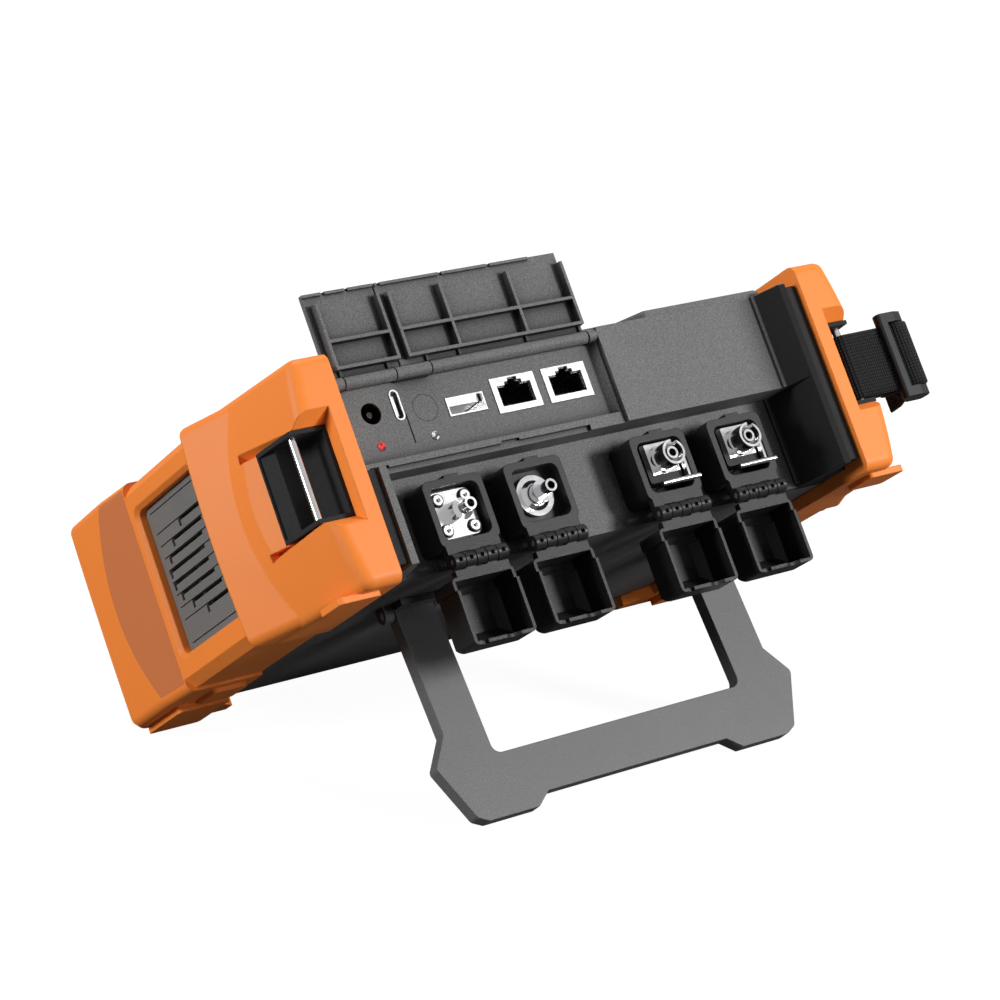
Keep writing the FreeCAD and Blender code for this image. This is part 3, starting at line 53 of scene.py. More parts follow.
# The tester's own axes: X along the sockets, Y away from them, Z towards the screen, in millimetres
FLAP_AXIS_FRONT, FLAP_AXIS_UP = 2.3, 27.3
joints = {joint["name"]: joint for joint in frame["joints"]}
screen_up = -Vector(joints["power_key_press"]["axis"])
along_sockets = Vector((1, 0, 0))
away = screen_up.cross(along_sockets)
flap_axis = Vector(joints["small_flap_hinge"]["pos_m"])
bezel_low, bezel_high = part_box("front_bezel")
origin = Vector(((bezel_low.x + bezel_high.x) / 2, flap_axis.y, flap_axis.z))
origin += away * FLAP_AXIS_FRONT * MM - screen_up * FLAP_AXIS_UP * MM
own_axes = Matrix((along_sockets, away, screen_up)).transposed().to_4x4()
TESTER = Matrix.Translation(origin) @ own_axes @ Matrix.Scale(MM, 4)

# Sizes shared with the solids, in millimetres
PIN_X, PIN_Y, PIN_R = 101.0, -5.0, 1.25
WEB_HALF, WEB_THICK, SOFT_GAP = 10.6, 1.5, 0.3
BAR_NEAR, BAR_FAR = 115.0, 118.3
BUCKLE_END, BUCKLE_HALF, BUCKLE_FRONT, BUCKLE_REAR = 126.4, 14.2, -10.7, -3.2
FOLD_X, FOLD_Y, FOLD_R, RUNG_R = 122.9, -6.35, 3.7, 1.4
SOCKET_MIDDLES, MOUTH_HALF, MOUTH_LOW, MOUTH_HIGH = (-19.65, -0.8), 6.0, 11.75, 18.15
LATCH_HALF, LATCH_HIGH, TAB_HALF, TAB_HIGH = 3.05, 19.25, 1.65, 20.25
LINING_FRONT, LINING_FLOOR, LINING_BACK, LINING_WALL = 0.6, 11.3, 11.8, 0.3
WIRES, WIRE_PITCH, WIRE_HALF = 8, 1.02, 0.22
SCREEN_HALF, SCREEN_NEAR, SCREEN_FAR = 66.0, 16.0, 93.0

# Where the masks begin and end, in the same millimetres
PANEL_NEAR, PANEL_CREST, PANEL_CURVE, PANEL_SIDE, PANEL_HALF = 82.5, 106.0, -0.009, 110.5, 31.5
# Bounds of the painted shade on the socket bay's end wall on the strap's side
BAY_RIDGE, BAY_SHADE_FADE, BAY_DEPTH, BEZEL_LOW = 74.6, 13.0, 10.0, 29.2
PORT_FIRST, PORTS_THREADED, PORT_UP, FLANGE_SCREW = -55.0, (19.8, 49.5), -16.9, 4.7
# Radius and half width of the painted shade round the flange's screws
SCREW_GAP, SCREW_GAP_HALF = 1.95, 0.22
# Rings of painted shade on the flange screws' heads
SCREW_MIDDLE, SCREW_RIM, SCREW_RIM_HALF = 1.0, 0.9, 0.42
PLATE_BACK, PLATE_FRONT, PLATE_EDGE, PLATE_EDGE_HALF, PLATE_LOW = -2.8, -3.2, -5.6, 1.4, -19.4

# The webbing's free end, from behind the buckle to its tip: X, Y and how far it hangs
TAIL_PLACES = ((113, -1.1, 0), (118, -0.9, 0.2), (122.5, 0.4, 0.8), (125.2, 3.2, 1.6), (125.8, 6.8, 2.4),
               (124.4, 10.2, 3.0))

# The camera that was fitted to the photograph, in the tester's own axes
EYE = (-529.7, -735.8, -177.2)
VIEW_RIGHT = (0.8170, -0.4740, -0.3285)
VIEW_DOWN = (-0.1835, 0.3263, -0.9273)
VIEW_AHEAD = (0.5467, 0.8179, 0.1796)
SENSOR_WIDTH, FOCAL_LENGTH = 36, 110.7

# Each lamp's name, place and width in metres, and power in watts; all aim at one point of the tester
LAMPS = (("key_lamp", (0.8, -1.15, 0.75), 0.35, 23.0), ("side_lamp", (-1.5, 0.15, 0.55), 0.5, 19.0),
         ("top_lamp", (0.2, 0.6, 1.4), 0.6, 10.0), ("low_lamp", (0.3, -1.6, 0.1), 0.35, 4.5))
LAMP_AIM = (0, 40, 0)

# How bright the world is as light, for the camera and in reflections; the floor's half width in metres,
# its grey and its glow
WORLD_LIGHT, WORLD_SEEN, WORLD_MIRRORED = 0.07, 1.0, 0.6
FLOOR_HALF, FLOOR_GREY, FLOOR_SEEN = 4.0, 0.1, 0.96


# Camera, floor and light

def placed(name, data):
    """A new object, linked to the scene."""
    thing = bpy.data.objects.new(name, data)
    bpy.context.scene.collection.objects.link(thing)
    return thing


def place_camera():
    """The photograph's view."""
    turn = TESTER.to_3x3().normalized()
    axes = Matrix((turn @ Vector(VIEW_RIGHT), turn @ -Vector(VIEW_DOWN), turn @ -Vector(VIEW_AHEAD)))
    data = bpy.data.cameras.new("photo_view")
    data.sensor_width = SENSOR_WIDTH
    data.lens = FOCAL_LENGTH
    camera = placed("photo_view", data)
    camera.matrix_world = Matrix.Translation(TESTER @ Vector(EYE)) @ axes.transposed().to_4x4()
    bpy.context.scene.camera = camera


def place_lamp(name, place, size, watts):
    """A soft round lamp."""
    data = bpy.data.lights.new(name, "AREA")
    data.shape = "DISK"
    data.size = size
    data.energy = watts
    lamp = placed(name, data)
    lamp.location = place
    aim = TESTER @ Vector(LAMP_AIM) - Vector(place)
    lamp.rotation_euler = aim.to_track_quat("-Z", "Y").to_euler()


def studio():
    """Plain pale floor, pale world and soft lamps."""
    scene = bpy.context.scene
    scene.view_settings.view_transform = "Standard"
    scene.world = bpy.data.worlds.new("pale_room")
    scene.world.use_nodes = True
    tree = scene.world.node_tree
    back = tree.nodes["Background"].inputs
    back["Color"].default_value = (1, 1, 1, 1)
    ray = tree.nodes.new("ShaderNodeLightPath").outputs
    level = wire(tree, "ShaderNodeMapRange", Value=ray["Is Camera Ray"], To_Min=WORLD_LIGHT,
                 To_Max=WORLD_SEEN)
    mirror = maths(tree, "MULTIPLY", ray["Is Glossy Ray"], WORLD_MIRRORED)
    feed(tree, back["Strength"], maths(tree, "MAXIMUM", level, mirror))

    half = FLOOR_HALF
    plane = bpy.data.meshes.new("studio_floor")
    corners = [(-half, -half, 0), (half, -half, 0), (half, half, 0), (-half, half, 0)]
    plane.from_pydata(corners, [], [(0, 1, 2, 3)])
    pale, tree, shader = plain("floor_white", (FLOOR_GREY,) * 3, 0.9, Specular_IOR_Level=0.0,
                               Emission_Color=(1, 1, 1, 1))
    ray = tree.nodes.new("ShaderNodeLightPath").outputs
    glow = maths(tree, "MULTIPLY", ray["Is Camera Ray"], FLOOR_SEEN)
    feed(tree, shader.inputs["Emission Strength"], glow)
    plane.materials.append(pale)
    floor = placed("studio_floor", plane)

    for lamp in LAMPS:
        place_lamp(*lamp)


# Shader nodes

def feed(tree, socket, source):
    """Sets a number, colour or vector on a socket, or links an output to it."""
    if isinstance(source, (int, float, tuple)):
        socket.default_value = source
    else:
        tree.links.new(source, socket)


def source_of(socket):
    """What feeds a socket: the output linked to it, or else its own number or colour."""
    if socket.links:
        return socket.links[0].from_socket
    value = socket.default_value
    return value if isinstance(value, float) else tuple(value)


def add_node(tree, kind, operation=None, **inputs):
    """A new node with its inputs fed: _0 means the first of them, and To_Min the one called To Min."""
    node = tree.nodes.new(kind)
    if operation:
        node.operation = operation
    for key, source in inputs.items():
        slot = int(key[1:]) if key[1:].isdigit() else key.replace("_", " ")
        feed(tree, node.inputs[slot], source)
    return node


def wire(tree, kind, operation=None, **inputs):
    """The first output of such a node."""
    return add_node(tree, kind, operation, **inputs).outputs[0]


def maths(tree, operation, first, second=0.0, third=0.0):
    """The result of a Math node."""
    return wire(tree, "ShaderNodeMath", operation, _0=first, _1=second, _2=third)


def all_of(tree, *masks):
    """Masks multiplied, so that the result is 1 only where each of them is."""
    result = masks[0]
    for mask in masks[1:]:
        result = maths(tree, "MULTIPLY", result, mask)
    return result


def scaled(tree, colour, level):
    """A colour made lighter or darker."""
    return wire(tree, "ShaderNodeVectorMath", "SCALE", _0=colour, Scale=level)


def blended(tree, mask, first, second):
    """The first colour or number where the mask is 0, and the second where it is 1."""
    node = tree.nodes.new("ShaderNodeMix")
    if isinstance(second, float):
        node.data_type, slots, result = "FLOAT", (0, 2, 3), 0
    else:
        node.data_type, slots, result = "RGBA", (0, 6, 7), 2
    for slot, source in zip(slots, (mask, first, second)):
        feed(tree, node.inputs[slot], source)
    return node.outputs[result]


def object_place(tree):
    """Place of a shading point in metres."""
    return tree.nodes.new("ShaderNodeTexCoord").outputs["Object"]


def tester_place(tree):
    """Place of a shading point in the tester's own millimetres, split into X, Y and Z."""
    inverse = TESTER.inverted()
    own = wire(tree, "ShaderNodeMapping", Vector=object_place(tree), Scale=(1 / MM,) * 3,
               Rotation=tuple(inverse.to_3x3().normalized().to_euler()), Location=tuple(inverse.translation))
    return tuple(add_node(tree, "ShaderNodeSeparateXYZ", Vector=own).outputs)


def group(name, inputs, outputs, kind="ShaderNodeTree"):
    """A node group, with the sockets that it is given and the sockets that it fills."""
    tree = bpy.data.node_groups.new(name, kind)
    for label, socket_kind, value in inputs:
        socket = tree.interface.new_socket(label, in_out="INPUT", socket_type=socket_kind)
        if value is not None:
            socket.default_value = value
    for label, socket_kind in outputs:
        tree.interface.new_socket(label, in_out="OUTPUT", socket_type=socket_kind)
    return tree, tree.nodes.new("NodeGroupInput").outputs, tree.nodes.new("NodeGroupOutput").inputs


def from_group(tree, node_group, **values):
    """The outputs of a shader group placed in a material with its own values."""
    node = tree.nodes.new("ShaderNodeGroup")
    node.node_tree = node_group
    for key, source in values.items():
        feed(tree, node.inputs[key.replace("_", " ")], source)
    return node.outputs


# Shader groups

def make_moulded_grain():
    """Fine eroded mould texture with faint broad shading."""
    tree, given, result = group("moulded_grain", [
        ("Colour", "NodeSocketColor", (0.5, 0.5, 0.5, 1)), ("Grains per metre", "NodeSocketFloat", 2400.0),
        ("Speckle", "NodeSocketFloat", 0.3), ("Roughness", "NodeSocketFloat", 0.5),
        ("Roughness spread", "NodeSocketFloat", 0.1), ("Blotch", "NodeSocketFloat", 0.08)],
        [("Colour", "NodeSocketColor"), ("Roughness", "NodeSocketFloat"), ("Height", "NodeSocketFloat")])
    where = object_place(tree)
    fine = wire(tree, "ShaderNodeTexNoise", Vector=where, Scale=given["Grains per metre"], Detail=2.5,
                Roughness=0.6)
    height = wire(tree, "ShaderNodeMapRange", Value=fine, From_Min=0.36, From_Max=0.66)
    broad = wire(tree, "ShaderNodeTexNoise", Vector=where, Scale=38.0, Detail=3.0, Roughness=0.55)
    centred = maths(tree, "SUBTRACT", height, 0.5)
    speck = maths(tree, "MULTIPLY", centred, given["Speckle"])
    patch = maths(tree, "MULTIPLY", maths(tree, "SUBTRACT", broad, 0.5), given["Blotch"])
    level = maths(tree, "ADD", maths(tree, "ADD", speck, patch), 1.0)
    rough = maths(tree, "MULTIPLY", centred, given["Roughness spread"])
    feed(tree, result["Colour"], scaled(tree, given["Colour"], level))
    feed(tree, result["Roughness"], maths(tree, "ADD", rough, given["Roughness"]))
    feed(tree, result["Height"], height)
    return tree


def make_handling():
    """Faint rubbed streaks and dust that lighten a surface in patches."""
    tree, given, result = group("handling", [
        ("Colour", "NodeSocketColor", (0.5, 0.5, 0.5, 1)),
        ("Dust colour", "NodeSocketColor", (0.8, 0.8, 0.8, 1)),
        ("Amount", "NodeSocketFloat", 0.06)], [("Colour", "NodeSocketColor")])
    cloud = wire(tree, "ShaderNodeTexNoise", Vector=object_place(tree), Scale=55.0, Detail=6.0,
                 Roughness=0.65)
    streaks = wire(tree, "ShaderNodeMapRange", Value=cloud, From_Min=0.5, From_Max=0.75)
    mask = maths(tree, "MULTIPLY", streaks, given["Amount"])
    feed(tree, result["Colour"], blended(tree, mask, given["Colour"], given["Dust colour"]))
    return tree


def make_webbing_weave():
    """Square weave from the piece's own map, whose units are millimetres across and along the band; its colour has
    painted highlight on the threads' crowns and painted shade between them.
    """
    tree, given, result = group("webbing_weave", [
        ("Colour", "NodeSocketColor", (0.02, 0.02, 0.02, 1)), ("Warp pitch", "NodeSocketFloat", 1.05),
        ("Weft pitch", "NodeSocketFloat", 0.95)],
        [("Colour", "NodeSocketColor"), ("Height", "NodeSocketFloat")])
    band = tree.nodes.new("ShaderNodeUVMap")
    band.uv_map = "band"
    parts = add_node(tree, "ShaderNodeSeparateXYZ", Vector=band.outputs[0]).outputs
    threads = []
    for part, pitch in ((parts[0], given["Warp pitch"]), (parts[1], given["Weft pitch"])):
        turns = maths(tree, "MULTIPLY", maths(tree, "DIVIDE", part, pitch), math.pi)
        threads.append(maths(tree, "ABSOLUTE", maths(tree, "SINE", turns)))
    height = all_of(tree, *threads)
    # Painted highlight and shade: the colour scales with the threads' height
    level = wire(tree, "ShaderNodeMapRange", Value=height, To_Min=0.1, To_Max=3.4)
    feed(tree, result["Colour"], scaled(tree, given["Colour"], level))
    feed(tree, result["Height"], height)
    return tree


GRAIN = make_moulded_grain()
HANDLING = make_handling()
WEAVE = make_webbing_weave()


# Finishes

def plain(name, colour, roughness, metallic=0.0, **sockets):
    """A material of one colour, with its node tree and its shader."""
    finish = bpy.data.materials.new(name)
    finish.use_nodes = True
    shader = finish.node_tree.nodes["Principled BSDF"]
    shader.inputs["Base Color"].default_value = (*colour, 1)
    shader.inputs["Roughness"].default_value = roughness
    shader.inputs["Metallic"].default_value = metallic
    for key, value in sockets.items():
        shader.inputs[key.replace("_", " ")].default_value = value
    return finish, finish.node_tree, shader


def softened(tree, shader, height, depth, strength, edge=0.0):
    """Bump from a height, laid over edges rounded by a small radius. Depth and edge are in millimetres."""
    bump = add_node(tree, "ShaderNodeBump", Height=height, Strength=strength, Distance=depth * MM)
    if edge:
        rounded = add_node(tree, "ShaderNodeBevel", Radius=edge * MM)
        rounded.samples = 4
        feed(tree, bump.inputs["Normal"], rounded.outputs[0])
    feed(tree, shader.inputs["Normal"], bump.outputs[0])


def corner_shaded(tree, colour, reach):
    """Painted shade: the colour darkened in a piece's own corners, within a reach in millimetres."""
    near = add_node(tree, "ShaderNodeAmbientOcclusion", Distance=reach * MM)
    near.samples = 8
    near.only_local = True
    level = wire(tree, "ShaderNodeMapRange", Value=near.outputs["AO"], From_Min=0.5, From_Max=0.97,
                 To_Min=0.1)
    return scaled(tree, colour, level)


def moulded(name, colour, roughness, grains=2400.0, speckle=0.35, depth=0.08, strength=0.5, edge=0.3,
            dust=0.04, blotch=0.1, spread=0.15, shade_reach=0.0, **sockets):
    """A moulded or coated surface: grain, a little dust, softened edges, and painted shade in its own corners."""
    finish, tree, shader = plain(name, colour, roughness, **sockets)
    dusty = tuple(min(1, part * 1.6 + 0.12) for part in colour)
    handled = from_group(tree, HANDLING, Colour=(*colour, 1), Dust_colour=(*dusty, 1), Amount=dust)
    grain = from_group(tree, GRAIN, Colour=handled["Colour"], Grains_per_metre=grains, Speckle=speckle,
                       Roughness=roughness, Roughness_spread=spread, Blotch=blotch)
    # Painted shade in the piece's own corners, where a reach is given
    shade = corner_shaded(tree, grain["Colour"], shade_reach) if shade_reach else grain["Colour"]
    feed(tree, shader.inputs["Base Color"], shade)
    feed(tree, shader.inputs["Roughness"], grain["Roughness"])
    softened(tree, shader, grain["Height"], depth, strength, edge)
    return finish


def darkened(finish, make_mask, colour, roughness):
    """Where the mask is 1 the finish turns into another plain one, which isn't metal."""
    tree = finish.node_tree
    sockets = tree.nodes["Principled BSDF"].inputs
    mask = make_mask(tree, *tester_place(tree))
    for name, other in (("Base Color", (*colour, 1)), ("Roughness", roughness)):
        feed(tree, sockets[name], blended(tree, mask, source_of(sockets[name]), other))
    metal = wire(tree, "ShaderNodeMapRange", Value=mask, To_Min=sockets["Metallic"].default_value, To_Max=0.0)
    feed(tree, sockets["Metallic"], metal)
    return finish


def scooped_panel(tree, x, y, z):
    """The crescent between each bumper's rear edge and its window, darker and a little matter than the rest."""
    crest = maths(tree, "MULTIPLY_ADD", maths(tree, "MULTIPLY", z, z), PANEL_CURVE, PANEL_CREST)
    inside = maths(tree, "LESS_THAN", y, crest)
    beyond = maths(tree, "GREATER_THAN", y, PANEL_NEAR)
    aside = maths(tree, "GREATER_THAN", maths(tree, "ABSOLUTE", x), PANEL_SIDE)
    flat = maths(tree, "LESS_THAN", maths(tree, "ABSOLUTE", z), PANEL_HALF)
    return all_of(tree, inside, beyond, aside, flat)


def bay_end_shade(tree, x, y, z):
    """Painted shade on the socket bay's end wall on the strap's side, fading in from the wall beside it."""
    wall = maths(tree, "GREATER_THAN", x, BAY_RIDGE)
    fade = wire(tree, "ShaderNodeMapRange", Value=x, From_Min=BAY_RIDGE - BAY_SHADE_FADE, From_Max=BAY_RIDGE,
                To_Max=0.75)
    dark = maths(tree, "MAXIMUM", wall, maths(tree, "MULTIPLY", fade, fade))
    front = maths(tree, "LESS_THAN", y, BAY_DEPTH)
    below = maths(tree, "LESS_THAN", z, BEZEL_LOW)
    return all_of(tree, dark, front, below)


def from_flange_screws(tree, x, z):
    """Distance from the nearest of the square flange's four screws."""
    squares = []
    for place, middle in ((x, PORT_FIRST), (z, PORT_UP)):
        aside = maths(tree, "ABSOLUTE", maths(tree, "SUBTRACT", place, middle))
        aside = maths(tree, "SUBTRACT", aside, FLANGE_SCREW)
        squares.append(maths(tree, "MULTIPLY", aside, aside))
    return maths(tree, "SQRT", maths(tree, "ADD", *squares))


def counterbore_shade_rings(tree, x, y, z):
    """Painted shade in the counterbore gaps round the four screws of the square flange."""
    return maths(tree, "COMPARE", from_flange_screws(tree, x, z), SCREW_GAP, SCREW_GAP_HALF)


def screw_head_shade(tree, x, y, z):
    """Painted shade on the same screws' sides, rims and sockets."""
    off_middle = maths(tree, "SUBTRACT", from_flange_screws(tree, x, z), SCREW_MIDDLE)
    return maths(tree, "COMPARE", maths(tree, "ABSOLUTE", off_middle), SCREW_RIM, SCREW_RIM_HALF)


def block_sides(tree, x, y, z):
    """The threaded adapters' black bodies behind their bright face plates."""
    behind = maths(tree, "GREATER_THAN", y, PLATE_BACK)
    dark = maths(tree, "LESS_THAN", z, PLATE_LOW)
    for middle in PORTS_THREADED:
        edge = maths(tree, "COMPARE", maths(tree, "SUBTRACT", x, middle), PLATE_EDGE, PLATE_EDGE_HALF)
        dark = maths(tree, "MAXIMUM", dark, edge)
    face = maths(tree, "MULTIPLY", dark, maths(tree, "GREATER_THAN", y, PLATE_FRONT))
    return maths(tree, "MAXIMUM", behind, face)


def glint_painted_lens(name, shade, glint_colour):
    """A small glassy lens with painted glints: its colour turns from dark to bright cell by cell, for light caught
    by its inner facet pattern.
    """
    finish, tree, shader = plain(name, glint_colour, 0.06, Coat_Weight=1.0)
    cells = add_node(tree, "ShaderNodeTexVoronoi", Vector=object_place(tree), Scale=1100.0)
    glint = wire(tree, "ShaderNodeSeparateColor", Color=cells.outputs["Color"])
    # Painted glints: cells of the lens painted bright by turns
    glint_cells = wire(tree, "ShaderNodeMapRange", Value=glint, From_Min=0.35, From_Max=0.6)
    feed(tree, shader.inputs["Base Color"], blended(tree, glint_cells, (*shade, 1), (*glint_colour, 1)))
    softened(tree, shader, glint, 0.3, 0.8)
    return finish


def machined(name, colour, roughness):
    """Bright metal, a little cloudy."""
    finish, tree, shader = plain(name, colour, roughness, 1.0)
    smear = wire(tree, "ShaderNodeTexNoise", Vector=object_place(tree), Scale=500.0, Detail=3.0,
                 Roughness=0.6)
    rough = wire(tree, "ShaderNodeMapRange", Value=smear, To_Min=roughness * 0.6, To_Max=roughness * 1.5)
    feed(tree, shader.inputs["Roughness"], rough)
    softened(tree, shader, smear, 0.01, 0.03)
    return finish


def woven(name, colour):
    """Black webbing with a faint sheen."""
    finish, tree, shader = plain(name, colour, 0.75, Specular_IOR_Level=0.2, Sheen_Weight=0.08,
                                 Sheen_Roughness=0.4)
    # The weave gives painted highlight on the threads' crowns and painted shade between them
    cloth = from_group(tree, WEAVE, Colour=(*colour, 1))
    feed(tree, shader.inputs["Base Color"], cloth["Colour"])
    softened(tree, shader, cloth["Height"], 0.35, 1.0)
    return finish


def chart_line(tree, across):
    """Height of the chart's falling line, and how thick it is drawn there, as shares of the chart."""
    width, step_width = 0.006, 0.006
    line, reach = maths(tree, "MULTIPLY_ADD", across, -0.32, 0.78), width
    for start, drop in ((0.34, 0.05), (0.62, 0.09), (0.85, -0.22), (0.862, 0.46)):
        fall = wire(tree, "ShaderNodeMapRange", Value=across, From_Min=start, From_Max=start + step_width,
                    To_Max=drop)
        line = maths(tree, "SUBTRACT", line, fall)
        at_step = maths(tree, "COMPARE", across, start + step_width / 2, step_width / 2)
        reach = maths(tree, "ADD", maths(tree, "MULTIPLY", at_step, abs(drop) * 0.5), reach)
    return line, reach


def trace_display():
    """A lit chart: faint grid, a bar at its head and foot, and one falling line with two steps and a peak."""
    finish, tree, shader = plain("lit_chart", (0.004, 0.005, 0.008), 0.25, Emission_Strength=0.9)
    x, y = tester_place(tree)[:2]
    across = wire(tree, "ShaderNodeMapRange", Value=x, From_Min=SCREEN_HALF, From_Max=-SCREEN_HALF)
    up = wire(tree, "ShaderNodeMapRange", Value=y, From_Min=SCREEN_FAR, From_Max=SCREEN_NEAR)
    grid = []
    for place, squares, width in ((across, 10.0, 0.012), (up, 6.0, 0.014)):
        share = maths(tree, "FRACT", maths(tree, "MULTIPLY", place, squares))
        grid.append(maths(tree, "COMPARE", share, 0.5, width))
    bars = maths(tree, "MAXIMUM", maths(tree, "GREATER_THAN", up, 0.93), maths(tree, "LESS_THAN", up, 0.08))
    line, reach = chart_line(tree, across)
    glow = (0.004, 0.012, 0.03, 1)
    for mask, colour in ((maths(tree, "MAXIMUM", *grid), (0.05, 0.07, 0.09, 1)),
                         (bars, (0.03, 0.09, 0.2, 1)),
                         (maths(tree, "COMPARE", up, line, reach), (0.35, 0.9, 0.25, 1))):
        glow = blended(tree, mask, glow, colour)
    feed(tree, shader.inputs["Emission Color"], glow)
    return finish


FINISHES = {
    # Painted shade in the charcoal plastic's own corners, within 12 mm
    "charcoal_plastic": moulded("charcoal_plastic", (0.125, 0.125, 0.126), 0.55, speckle=0.8, depth=0.1,
                                strength=0.6, shade_reach=12.0, Specular_IOR_Level=0.3),
    "port_plastic": moulded("port_plastic", (0.017, 0.017, 0.0175), 0.42, grains=2000.0, speckle=0.2,
                            depth=0.04, strength=0.4, dust=0.015, Specular_IOR_Level=0.22),
    "orange_rubber": moulded("orange_rubber", (0.87, 0.235, 0.036), 0.5, grains=3000.0, speckle=0.04,
                             depth=0.03, strength=0.3, edge=0.6, dust=0.02, blotch=0.05, spread=0.1,
                             Specular_IOR_Level=0.3),
    "black_rubber": moulded("black_rubber", (0.011, 0.011, 0.0115), 0.8, speckle=0.15, depth=0.03,
                            strength=0.3, dust=0.02, Specular_IOR_Level=0.35),
    "black_plastic": moulded("black_plastic", (0.15, 0.146, 0.142), 0.5, speckle=0.3, depth=0.05,
                             strength=0.4, Specular_IOR_Level=0.3),
    "stand_grey": moulded("stand_grey", (0.12, 0.12, 0.122), 0.45, grains=3200.0, speckle=0.3, depth=0.05,
                          strength=0.5, edge=0.4, Specular_IOR_Level=0.35),
    "key_rubber": moulded("key_rubber", (0.09, 0.09, 0.095), 0.6, grains=3000.0, speckle=0.1, depth=0.03,
                          strength=0.3, edge=0.4),
    "buckle_plastic": moulded("buckle_plastic", (0.018, 0.018, 0.019), 0.4, grains=2600.0, speckle=0.2,
                              depth=0.03, strength=0.3, dust=0.02, Specular_IOR_Level=0.25),
    "socket_black": moulded("socket_black", (0.008, 0.008, 0.008), 0.22, speckle=0.1, depth=0.01,
                            strength=0.2),
    "board_green": moulded("board_green", (0.015, 0.11, 0.05), 0.3, speckle=0.2, depth=0.02, strength=0.3),
    "battery_wrap": moulded("battery_wrap", (0.02, 0.03, 0.07), 0.25, speckle=0.1, depth=0.01,
                            strength=0.2),
    "polished_steel": machined("polished_steel", (0.72, 0.72, 0.73), 0.14),
    "pin_steel": machined("pin_steel", (0.55, 0.55, 0.57), 0.28),
    "socket_shell": machined("socket_shell", (0.88, 0.88, 0.88), 0.22),
    "module_can": machined("module_can", (0.7, 0.7, 0.72), 0.35),
    "contact_gold": machined("contact_gold", (0.93, 0.68, 0.28), 0.2),
    "webbing": woven("webbing", (0.0045, 0.0045, 0.0048)),
    "display_black": trace_display(),
    "screwed_flange": machined("screwed_flange", (0.8, 0.8, 0.81), 0.18),
    "flange_screw": machined("flange_screw", (0.8, 0.8, 0.81), 0.2),
    "plated_block": machined("plated_block", (0.72, 0.72, 0.73), 0.15),
    "screen_glass": plain("screen_glass", (0.9, 0.92, 0.92), 0.03, Transmission_Weight=1.0, IOR=1.45)[0],
    # Both lenses have painted glints in their colour
    "red_lens": glint_painted_lens("red_lens", (0.12, 0.002, 0.004), (0.85, 0.03, 0.03)),
    "clear_lens": glint_painted_lens("clear_lens", (0.06, 0.06, 0.065), (0.95, 0.95, 0.97)),
}
for key, make_mask, colour, roughness in (
        ("orange_rubber", scooped_panel, (0.55, 0.16, 0.05), 0.6),
        # Painted shade on the socket bay's end wall on the strap's side
        ("charcoal_plastic", bay_end_shade, (0.009, 0.009, 0.0095), 0.9),
        # Painted shade in the counterbore gaps round the flange's screws
        ("screwed_flange", counterbore_shade_rings, (0.01, 0.01, 0.01), 0.5),
        # Painted shade on the flange screws' sides, rims and sockets
        ("flange_screw", screw_head_shade, (0.01, 0.01, 0.01), 0.5),
        ("plated_block", block_sides, (0.006, 0.006, 0.006), 0.7)):
    darkened(FINISHES[key], make_mask, colour, roughness)

# Solids whose finish is richer than the one of their slot in the record
OWN_FINISH = {"adapter_square": "screwed_flange", "adapter_screws": "flange_screw",
              "adapter_threaded_3": "plated_block", "adapter_threaded_4": "plated_block"}


def dress_solids():
    """Every solid gets the finish named by its slot in the record, or its own."""
    for part in frame["record"]["subparts"]:
        solid = nodes[part["node"]]
        finish = FINISHES[OWN_FINISH.get(part["node"], part["material_slot"])]
        if not solid.data.materials:
            solid.data.materials.append(finish)
        for slot in solid.material_slots:
            slot.material = finish


# Pieces

def meshed(name, build, place=Matrix()):
    """A mesh from a function that fills a bmesh, moved by a matrix."""
    work = bmesh.new()
    build(work)
    bmesh.ops.recalc_face_normals(work, faces=work.faces)
    bmesh.ops.transform(work, matrix=place, verts=work.verts)
    mesh = bpy.data.meshes.new(name)
    work.to_mesh(mesh)
    work.free()
    return mesh


def to_object(name, build, finish, smooth=True):
    """A piece built in the tester's millimetres and put in the room."""
    mesh = meshed(name, build, TESTER)
    for face in mesh.polygons:
        face.use_smooth = smooth
    mesh.materials.append(FINISHES[finish])
    return placed(name, mesh)


def arc(middle, radius, start, end, steps):
    """Points on an arc in the plane across the pin, angles in degrees."""
    points = []
    for step in range(steps + 1):
        angle = math.radians(start + (end - start) * step / steps)
        points.append((middle[0] + radius * math.cos(angle), middle[1] + radius * math.sin(angle)))
    return points


def band_line():
    """Middle line of the webbing: round the pin, under the buckle's bar, over its rung and back."""
    radius = PIN_R + SOFT_GAP + WEB_THICK / 2
    line = arc((PIN_X, PIN_Y), radius, 270, 90, 14)
    back = FOLD_Y + FOLD_R
    for share in (0.2, 0.4, 0.6, 0.8):
        x = PIN_X + (FOLD_X - PIN_X) * share
        line.append((x, PIN_Y + radius + (back - PIN_Y - radius) * share))
    line += arc((FOLD_X, FOLD_Y), FOLD_R, 90, -145, 18)
    line += [(BAR_FAR + 0.9, -8.0), (BAR_FAR - 0.2, -7.45), (BAR_NEAR + 1.2, PIN_Y - radius)]
    for share in (0.8, 0.55, 0.3):
        line.append((PIN_X + (BAR_NEAR - PIN_X) * share, PIN_Y - radius))
    return line


def band_section():
    """Outline of the webbing cut across, with worn edges and points for its curve: across and outwards."""
    edge, face, parts = WEB_HALF, WEB_HALF - 0.35, 12
    corners = [(-edge, -0.3), (-face, -0.5), (face, -0.5), (edge, -0.3),
               (edge, 0.3), (face, 0.5), (-face, 0.5), (-edge, 0.3)]
    section = []
    for index, (across, out) in enumerate(corners):
        section.append((across, out * WEB_THICK))
        if abs(across) == face and corners[(index + 1) % len(corners)][1] == out:
            for part in range(1, parts):
                section.append((across - 2 * across * part / parts, out * WEB_THICK))
    return section


